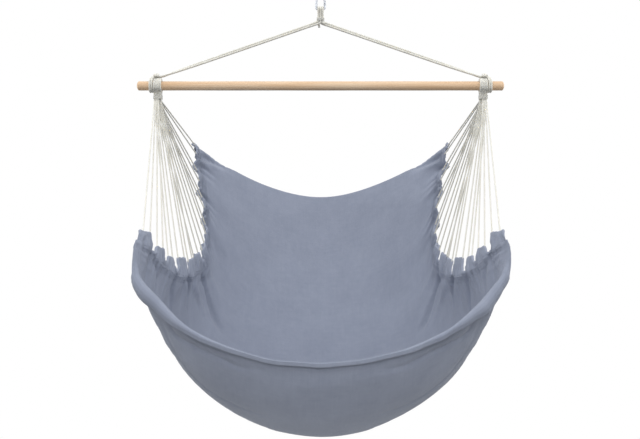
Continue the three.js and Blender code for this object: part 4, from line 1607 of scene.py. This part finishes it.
# The right arm's hitch round the bar, in millimetres from where the fan hangs: the front strand's way, the
# back strand's way and the bight where they meet.
HITCH_FRONT = (
    (-16, -2.8, 27),
    (-6, -2.8, 24.6),
    (4, -2.8, 24.6),
    (11.6, -8.2, 22.8),
    (14.4, -15, 13.4),
    (14.8, -16.4, 0),
    (14.8, -11.6, -11.6),
    (14.8, 0, -16.4),
    (14.8, 11.6, -11.6),
    (14.8, 16.4, 1),
    (14.4, 15.6, 11.6),
    (10.2, 12.8, 22),
    (4.2, 5.2, 30.3),
    (-0.4, -2, 31.2),
    (-1.8, -8, 28.6),
)
HITCH_BACK = (
    (-16, 2.8, 27),
    (-6, 2.8, 24.6),
    (6, 2.8, 24.6),
    (14.9, -2.6, 22.8),
    (19.4, -11.6, 15),
    (20.4, -16.4, 0),
    (20.4, -11.6, -11.6),
    (20.4, 0, -16.4),
    (20.4, 11.6, -11.6),
    (20.4, 16.4, 1),
    (19.8, 15.6, 12),
    (16, 12.6, 22.6),
    (10.2, 5.6, 30.2),
    (6.8, -2, 31.4),
    (6, -8, 28.6),
)
HITCH_BIGHT = (2.1, -12.2, 25.6)


@dataclass
class SuspensionRope:
    """The doubled rope: its eye in the hook, the seizing, both arms with their hitches and the loose ends."""

    measures: Measures
    finishes: Finishes
    eye_length: float = 30.0
    eye_strands: int = 3
    eye_pitch: float = 5.7
    seizing_height: float = 8.0
    bend_drop: float = 7.0
    bend_cut: float = 5.0
    upper_rise: float = 3.9
    step: float = 2.4
    eye_step: float = 1.6
    tail_step: float = 1.4
    sides: int = 18
    lay: float = 14.0
    groove: float = 0.04
    # The seizing's thread, and its drawn radius as a share of it: just over half, so that its turns touch.
    thread: float = 1.2
    thread_share: float = 0.54
    thread_sides: int = 8
    # The two strands of an arm lie against each other, so they stand a little less than a diameter apart.
    arm_spread: float = 0.96
    # How far the pair is turned, in degrees, by the hook and by the bar. By the hook the lower strand lies
    # under the other and a little in front of it, and by the bar it stands in front.
    arm_turns: tuple[float, float] = (26.0, 90.0)
    # Most of that turn lies near the bar: it grows with this power of the way along the arm.
    turn_power: int = 6
    # Where the left and the right loose end point to, from where they bend.
    left_tail: tuple[float, float, float] = (3.0, 4.0, -12.0)
    right_tail: tuple[float, float, float] = (6.0, -4.0, -3.0)

    @property
    def seizing_level(self) -> float:
        """The height of the seizing's middle."""
        return -self.measures.bow_drop - self.eye_length + self.seizing_height / 2

    @property
    def seizing_top(self) -> float:
        """The height that the arms and the loose ends start from, inside the seizing."""
        return self.seizing_level - self.measures.clearance / 2

    @property
    def pitch(self) -> float:
        """How far apart the ropes' centrelines stand side by side."""
        return self.measures.rope_diameter + self.measures.clearance

    @property
    def section(self) -> Section:
        """The laid rope's section."""
        return plied(self.measures.rope_diameter, self.lay, self.groove)

    def arm_path(self, side: Side) -> Array:
        """The way of one arm's rope: out, round the bar, over itself and back.

        Args:
            side: The side.

        Returns:
            Array: Its centreline on the right side.
        """
        m = self.measures
        depth = side.value * self.pitch / 2
        front, back = np.array(HITCH_FRONT) + m.bar_end, np.array(HITCH_BACK) + m.bar_end
        low_top = np.array([0.0, depth, self.seizing_top])
        high_top = low_top + [self.pitch, 0.0, 0.0]
        low_corner = low_top - [0.0, 0.0, self.seizing_height / 2 + self.bend_drop]
        high_corner = low_corner + [self.pitch, 0.0, self.upper_rise]
        centre_end, bar_end = (low_corner + high_corner) / 2, (front[0] + back[0]) / 2
        run = unit(bar_end - centre_end)
        up = np.array([-run[2], 0.0, run[0]])
        shares = np.linspace(0, 1, 12)[1:-1, None]
        start, end = np.radians(self.arm_turns)
        turns = start + shares**self.turn_power * (end - start)
        offset = (np.cos(turns) * unit(up) + np.sin(turns) * np.array([0.0, 1.0, 0.0])) * m.rope_diameter / 2
        middle = centre_end + (bar_end - centre_end) * shares
        lower, upper = middle - offset * self.arm_spread, middle + offset * self.arm_spread
        return np.vstack(
            [
                low_top,
                rounded_corner(low_top, low_corner, lower[0], self.bend_cut),
                lower,
                smooth_curve([*front, np.array(HITCH_BIGHT) + m.bar_end, *back[::-1]], 10),
                upper[::-1],
                rounded_corner(upper[0], high_corner, high_top, self.bend_cut),
                high_top,
            ]
        )

    def build_arms(self) -> None:
        """Makes both arms as laid rope."""
        for side in Side:
            path = mirrored(evenly(self.arm_path(side), self.step), side)
            name = f"suspension_rope_{side.word}"
            rope = MeshParts().add_tube(path, self.section, self.sides).make(f"cotton_{name}")
            finish_piece(rope, self.finishes.rope, Body.SUSPENSION, name)

    def build_eye(self) -> None:
        """Makes the strands that hang in the hook."""
        m = self.measures
        parts = MeshParts()
        wrap = (m.wire_diameter + m.rope_diameter) / 2 + m.clearance
        foot = self.seizing_level + m.clearance / 2
        knee = foot + self.seizing_height / 2
        for index in range(self.eye_strands):
            x = (index - (self.eye_strands - 1) / 2) * self.eye_pitch
            arc = [
                (x, -wrap * math.cos(angle), -m.bow_drop + wrap * math.sin(angle))
                for angle in np.linspace(0, math.pi, 9)
            ]
            near, far = -self.pitch / 2, self.pitch / 2
            knots = [(x, near, foot), (x, near, knee), *arc, (x, far, knee), (x, far, foot)]
            parts.add_tube(evenly(smooth_curve(knots, 8), self.eye_step), self.section, self.sides)
        eye = parts.make("cotton_suspension_eye")
        finish_piece(eye, self.finishes.rope, Body.SUSPENSION, "suspension_eye")

    def build_seizing(self) -> None:
        """Makes the thread that is wound round the eye's foot."""
        m = self.measures
        half_width = self.pitch + m.rope_diameter / 2
        half_depth = (self.pitch + m.rope_diameter) / 2
        path = wound_thread(half_width, half_depth, m, self.seizing_height, self.thread)
        path = path + np.array([0.0, 0.0, self.seizing_level])
        section = plain(self.thread * self.thread_share)
        seizing = MeshParts().add_tube(path, section, self.thread_sides).make("cotton_seizing")
        finish_piece(seizing, self.finishes.rope, Body.SUSPENSION, "eye_seizing")

    def build_tails(self) -> None:
        """Makes the two loose ends under the seizing."""
        diameter = self.measures.rope_diameter
        for side, reach in ((Side.LEFT, self.left_tail), (Side.RIGHT, self.right_tail)):
            neck = np.array([side.value * self.pitch, -side.value * self.pitch / 2, self.seizing_top])
            bend = neck - [0.0, 0.0, self.seizing_height / 2 + diameter]
            end = bend + np.array(reach)
            way = np.vstack([neck, rounded_corner(neck, bend, end, diameter / 2), end])
            path = evenly(way, self.tail_step)
            name = f"rope_tail_{side.word}"
            tail = MeshParts().add_tube(path, self.section, self.sides).make(f"cotton_{name}")
            finish_piece(tail, self.finishes.rope, Body.SUSPENSION, name)

    def build(self) -> None:
        """Makes every piece of the rope."""
        self.build_arms()
        self.build_eye()
        self.build_seizing()
        self.build_tails()


# The bar and the hook


@dataclass
class SpreaderBar:
    """The turned bar with its domed ends."""

    measures: Measures
    finishes: Finishes
    dome: float = 6.0
    sides: int = 64
    stations: int = 120
    # Turning and sanding leave long shallow waves in a dowel.
    wave_depth: float = 0.12
    wave_length: float = 232.5

    def build(self) -> None:
        """Makes the bar by turning its outline round its axis."""
        m = self.measures
        half, radius = m.bar_length / 2, m.bar_diameter / 2
        angles = np.linspace(0, math.pi / 2, 9)[:-1]
        dome = np.stack([half - self.dome + self.dome * np.sin(angles), radius * np.cos(angles)], axis=-1)
        runs = np.linspace(-half + self.dome, half - self.dome, self.stations)
        waves = radius - self.wave_depth / 2 * (1 - np.cos(2 * math.pi * runs / self.wave_length))
        outline = np.vstack([dome[::-1] * [-1, 1], np.stack([runs, waves], axis=-1)[1:-1], dome])
        turn = np.linspace(0, 2 * math.pi, self.sides, endpoint=False)
        rows, total = len(outline), len(outline) * self.sides
        rings = np.stack(
            [
                np.broadcast_to(outline[:, :1], (rows, self.sides)),
                outline[:, 1:] * np.cos(turn),
                outline[:, 1:] * np.sin(turn) - m.bar_drop,
            ],
            axis=-1,
        )
        ends = [[-half, 0.0, -m.bar_drop], [half, 0.0, -m.bar_drop]]
        faces = grid_faces(rows, self.sides, wrap=True)
        for column in range(self.sides):
            following = (column + 1) % self.sides
            faces.append((total, following, column))
            faces.append((total + 1, total - self.sides + column, total - self.sides + following))
        vertices = np.vstack([rings.reshape(-1, 3), ends])
        bar = MeshParts().add(vertices, flipped(faces), vertices[:, :2]).make("beech_bar")
        finish_piece(bar, self.finishes.beech, Body.SUSPENSION, "spreader_bar")


@dataclass
class SnapHook:
    """The bent wire hook with its sprung gate and pin."""

    measures: Measures
    finishes: Finishes
    broad_width: float = 17.4
    narrow_width: float = 11.0
    broad_bend: float = 7.0
    tang_length: float = 9.6
    tang_thickness: float = 2.0
    tang_bevel: float = 0.25
    pin_diameter: float = 2.0
    nose_gap: float = 2.0
    # Where the gate's fork ends, in radii of its wire from the pin, how far its cheeks run on into the round
    # arm, how each cheek is stepped through its thickness, and the least square of its half width.
    fork_radii: float = 2.2
    cheek_overlap: float = 0.5
    cheek_levels: tuple[float, ...] = (0.0, 0.35, 0.7, 1.0)
    cheek_floor: float = 0.3
    # How the wire's ends, the gate's nose and the pin's heads are rounded off: from how far, and the share of
    # the section that the end loses.
    wire_rounding: tuple[float, float] = (0.9, 0.35)
    nose_rounding: tuple[float, float] = (1.2, 0.5)
    pin_rounding: tuple[float, float] = (0.4, 0.6)
    sides: int = 32
    pin_sides: int = 24

    @property
    def broad(self) -> float:
        """How far the broad bow's wire stands from the middle."""
        return (self.broad_width + self.measures.wire_diameter) / 2

    @property
    def narrow(self) -> float:
        """How far the narrow bow's wire stands from the middle."""
        return (self.narrow_width + self.measures.wire_diameter) / 2

    @property
    def hinge(self) -> Array:
        """The middle of the gate's pin."""
        return np.array([self.broad, 0.0, -self.measures.bow_drop + self.broad_bend + self.tang_length])

    @property
    def nose(self) -> Array:
        """The end of the narrow bow's wire."""
        return np.array([self.narrow, 0.0, self.measures.wire_diameter / 2 - self.narrow])

    def wire_path(self) -> Array:
        """The body's wire from the tang round both bows to the nose.

        Returns:
            Array: Its centreline.
        """
        m = self.measures
        bend, broad, narrow = self.broad_bend, self.broad, self.narrow
        low = bend - m.bow_drop
        rows = [np.array([[broad, 0.0, low + self.tang_length / 2]])]
        for x, z, start, end, radius in (
            (broad - bend, low, 0.0, -math.pi / 2, bend),
            (bend - broad, low, -math.pi / 2, -math.pi, bend),
            (0.0, m.wire_diameter / 2 - narrow, math.pi, 0.0, narrow),
        ):
            angles = np.linspace(start, end, 16)
            arc = [x + radius * np.cos(angles), 0 * angles, z + radius * np.sin(angles)]
            rows.append(np.stack(arc, axis=-1))
        return np.vstack(rows)

    def build_body(self) -> None:
        """Makes the bent wire with its flattened tang."""
        path = evenly(self.wire_path(), 1.0)
        section = blunted(self.measures.wire_diameter / 2, distances(path)[-1], *self.wire_rounding)
        body = MeshParts().add_tube(path, section, self.sides).add(*self.tang()).make("steel_hook_body")
        finish_piece(body, self.finishes.steel, Body.HOOK, "snap_hook_body")

    def tang(self) -> tuple[Array, list[tuple[int, ...]], Array]:
        """The flat tang that the gate is forked over, with a round top.

        Returns:
            tuple[Array, list[tuple[int, ...]], Array]: Vertices, faces and texture places.
        """
        radius, hinge = self.measures.wire_diameter / 2, self.hinge
        outline = [(-radius, -self.tang_length), (radius, -self.tang_length)]
        outline += [(radius * math.cos(a), radius * math.sin(a)) for a in np.linspace(0, math.pi, 17)]
        half, bevel = self.tang_thickness / 2, self.tang_bevel
        vertices = np.array(
            [
                (hinge[0] + x * (1 - inset / radius), y, hinge[2] + z)
                for y, inset in ((-half, bevel), (bevel - half, 0.0), (half - bevel, 0.0), (half, bevel))
                for x, z in outline
            ]
        )
        return vertices, flipped(closed_faces(4, len(outline))), vertices[:, [0, 2]]

    def build_gate(self) -> None:
        """Makes the gate: a round arm, forked over the tang, with a rounded nose."""
        radius = self.measures.wire_diameter / 2
        hinge, reach = self.hinge, self.nose - self.hinge
        along = unit(reach)
        side = np.array([along[2], 0.0, -along[0]])
        fork = self.fork_radii * radius
        stations = np.linspace(fork, float(np.linalg.norm(reach)) - self.nose_gap, 40)
        section = blunted(radius, stations[-1] - fork, *self.nose_rounding, both=False)
        parts = MeshParts().add_tube(hinge + along * stations[:, None], section, self.sides)
        slot = self.tang_thickness / 2 + self.measures.clearance
        outline = [(fork + self.cheek_overlap, -1.0), (fork + self.cheek_overlap, 1.0)]
        outline += [(-math.sin(a), math.cos(a)) for a in np.linspace(0, math.pi, 15)]
        faces = closed_faces(4, len(outline))
        for sign in (-1, 1):
            vertices = []
            for y in slot + (radius - slot) * np.array(self.cheek_levels):
                width = math.sqrt(max(radius**2 - y**2, self.cheek_floor))
                for place, across in outline:
                    run = place if place > 0 else place * width
                    vertices.append(hinge + along * run + side * across * width + [0, sign * y, 0])
            vertices = np.array(vertices)
            parts.add(vertices, flipped(faces) if sign > 0 else faces, vertices[:, [0, 2]])
        finish_piece(parts.make("steel_hook_gate"), self.finishes.steel, Body.GATE, "snap_hook_gate")

    def build_pin(self) -> None:
        """Makes the riveted pin with its low heads."""
        length = self.measures.wire_diameter
        path = self.hinge + np.linspace([0.0, -length / 2, 0.0], [0.0, length / 2, 0.0], 25)
        section = blunted(self.pin_diameter / 2, length, *self.pin_rounding)
        pin = MeshParts().add_tube(path, section, self.pin_sides).make("steel_hook_pin")
        finish_piece(pin, self.finishes.steel, Body.HOOK, "snap_hook_pin")

    def build(self) -> None:
        """Makes the body, the gate and the pin."""
        self.build_body()
        self.build_gate()
        self.build_pin()


# The studio


@dataclass(frozen=True)
class Lamp:
    """A square soft lamp: where it hangs, how wide it is in metres and its power in watts."""

    name: str
    place: tuple[float, float, float]
    size: float
    power: float


@dataclass
class Studio:
    """The pale floor, the white surroundings, the lamps and the camera, in metres."""

    camera_place: tuple[float, float, float] = (-0.0014, -3.0, -0.629)
    focal_pixels: float = 1101.0
    image_width: float = 640.0
    floor_level: float = -1.66
    floor_reach: float = 1.25
    floor_fade: tuple[float, float] = (0.75, 1.25)
    world_strength: float = 0.78
    backdrop: str = "FFFFFF"
    lamp_target: tuple[float, float, float] = (0.0, 0.0, -0.8)
    lamps: tuple[Lamp, ...] = (
        Lamp("front", (0.0, -2.8, -0.2), 1.8, 24.0),
        Lamp("left front", (-2.2, -1.6, 2.2), 1.8, 33.0),
        Lamp("right front", (2.2, -1.6, 2.2), 1.8, 33.0),
        Lamp("left side", (-2.8, -0.1, 0.2), 1.8, 29.0),
        Lamp("right side", (2.8, -0.1, 0.2), 1.8, 29.0),
        Lamp("top", (0.0, -0.1, 2.2), 2.6, 5.0),
    )

    def build_camera(self) -> None:
        """Sets the camera where the photograph was taken from."""
        data = bpy.data.cameras.new("camera")
        data.sensor_width = 36.0
        data.lens = self.focal_pixels / self.image_width * data.sensor_width
        data.clip_start, data.clip_end = 0.05, 60.0
        camera = bpy.data.objects.new("camera", data)
        camera.location = self.camera_place
        camera.rotation_euler = (math.pi / 2, 0.0, 0.0)
        bpy.context.scene.collection.objects.link(camera)
        bpy.context.scene.camera = camera

    def build_world(self) -> None:
        """Lights from all round, a little more from above, and shows white behind the chair."""
        world = bpy.data.worlds.new("studio")
        bpy.context.scene.world = world
        world.use_nodes = True
        tree = world.node_tree
        tree.nodes.clear()
        sky = node(tree, "ShaderNodeTexCoord").outputs["Generated"]
        height = node(tree, "ShaderNodeSeparateXYZ", {0: sky}).outputs["Z"]
        glow = node(
            tree,
            "ShaderNodeMapRange",
            {"Value": height, "From Min": -0.15, "From Max": 0.5, "To Min": 0.165, "To Max": 1.1},
            interpolation_type="SMOOTHSTEP",
        ).outputs[0]
        strength = node(tree, "ShaderNodeMath", {0: glow, 1: self.world_strength}, operation="MULTIPLY")
        inputs = {"Color": (1.0, 1.0, 1.0, 1.0), "Strength": strength.outputs[0]}
        light = node(tree, "ShaderNodeBackground", inputs)
        seen = node(tree, "ShaderNodeBackground", {"Color": linear(self.backdrop), "Strength": 1.0})
        rays = node(tree, "ShaderNodeLightPath").outputs
        sharp = rays["Is Camera Ray"]
        for kind in ("Is Glossy Ray", "Is Transmission Ray"):
            sharp = node(tree, "ShaderNodeMath", {0: sharp, 1: rays[kind]}, operation="MAXIMUM").outputs[0]
        mixed = node(tree, "ShaderNodeMixShader", {0: sharp, 1: light.outputs[0], 2: seen.outputs[0]})
        node(tree, "ShaderNodeOutputWorld", {"Surface": mixed.outputs[0]})

    def build_lamps(self) -> None:
        """Hangs the soft lamps and turns them towards the chair."""
        for lamp in self.lamps:
            data = bpy.data.lights.new(lamp.name, "AREA")
            data.shape = "SQUARE"
            data.size = lamp.size
            data.energy = lamp.power
            light = bpy.data.objects.new(lamp.name, data)
            light.location = lamp.place
            x, y, z = np.array(self.lamp_target) - np.array(lamp.place)
            light.rotation_euler = (math.atan2(math.hypot(x, y), -z), 0.0, math.atan2(y, x) - math.pi / 2)
            bpy.context.scene.collection.objects.link(light)

    def build_floor(self) -> None:
        """Lays a plain pale floor under the chair, which fades out at its edge and isn't seen from below."""
        material, tree = new_material("matt_floor")
        speckle = node(tree, "ShaderNodeTexNoise", {"Scale": 30.0, "Detail": 4.0}).outputs["Fac"]
        stops = [(0.3, "CFCECB"), (0.7, "D6D5D2")]
        tint = node(tree, "ShaderNodeValToRGB", {"Fac": speckle}, stops).outputs["Color"]
        shader = node(tree, "ShaderNodeBsdfPrincipled", {"Base Color": tint, "Roughness": 0.9})
        solid = node(tree, "ShaderNodeTexCoord").outputs["Object"]
        flat = node(tree, "ShaderNodeVectorMath", {0: solid, 1: (1.0, 1.0, 0.0)}, operation="MULTIPLY")
        away = node(tree, "ShaderNodeVectorMath", {0: flat.outputs[0]}, operation="LENGTH").outputs["Value"]
        start, end = self.floor_fade
        inputs = {"Value": away, "From Min": start, "From Max": end}
        fade = node(tree, "ShaderNodeMapRange", inputs, interpolation_type="SMOOTHSTEP").outputs[0]
        below = node(tree, "ShaderNodeNewGeometry").outputs["Backfacing"]
        fade = node(tree, "ShaderNodeMath", {0: fade, 1: below}, operation="MAXIMUM").outputs[0]
        clear = node(tree, "ShaderNodeBsdfTransparent")
        faded = node(tree, "ShaderNodeMixShader", {0: fade, 1: shader.outputs[0], 2: clear.outputs[0]})
        node(tree, "ShaderNodeOutputMaterial", {"Surface": faded.outputs[0]})
        reach = self.floor_reach
        corners = np.array(
            [(x * reach, y * reach, self.floor_level) for x, y in ((-1, -1), (1, -1), (1, 1), (-1, 1))]
        )
        floor = MeshParts().add(corners / MM, [(0, 1, 2, 3)], corners[:, :2] / MM).make("floor")
        floor.data.materials.append(material)

    def build(self) -> None:
        """Sets up everything that isn't the chair."""
        scene = bpy.context.scene
        scene.view_settings.view_transform = "Standard"
        self.build_camera()
        self.build_world()
        self.build_lamps()
        self.build_floor()


def main() -> None:
    """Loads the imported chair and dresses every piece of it."""
    logging.basicConfig(level=logging.INFO, format="%(name)s: %(message)s")
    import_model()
    Studio().build()
    measures = Measures()
    lines = HemLine(measures)
    finishes = Finishes()
    fabric = SeatFabric(measures, lines, finishes)
    for side in Side:
        CordFan(measures, fabric, finishes, side).build()
    SuspensionRope(measures, finishes).build()
    SpreaderBar(measures, finishes).build()
    SnapHook(measures, finishes).build()
    fabric.build()


if __name__ == "__main__":
    main()
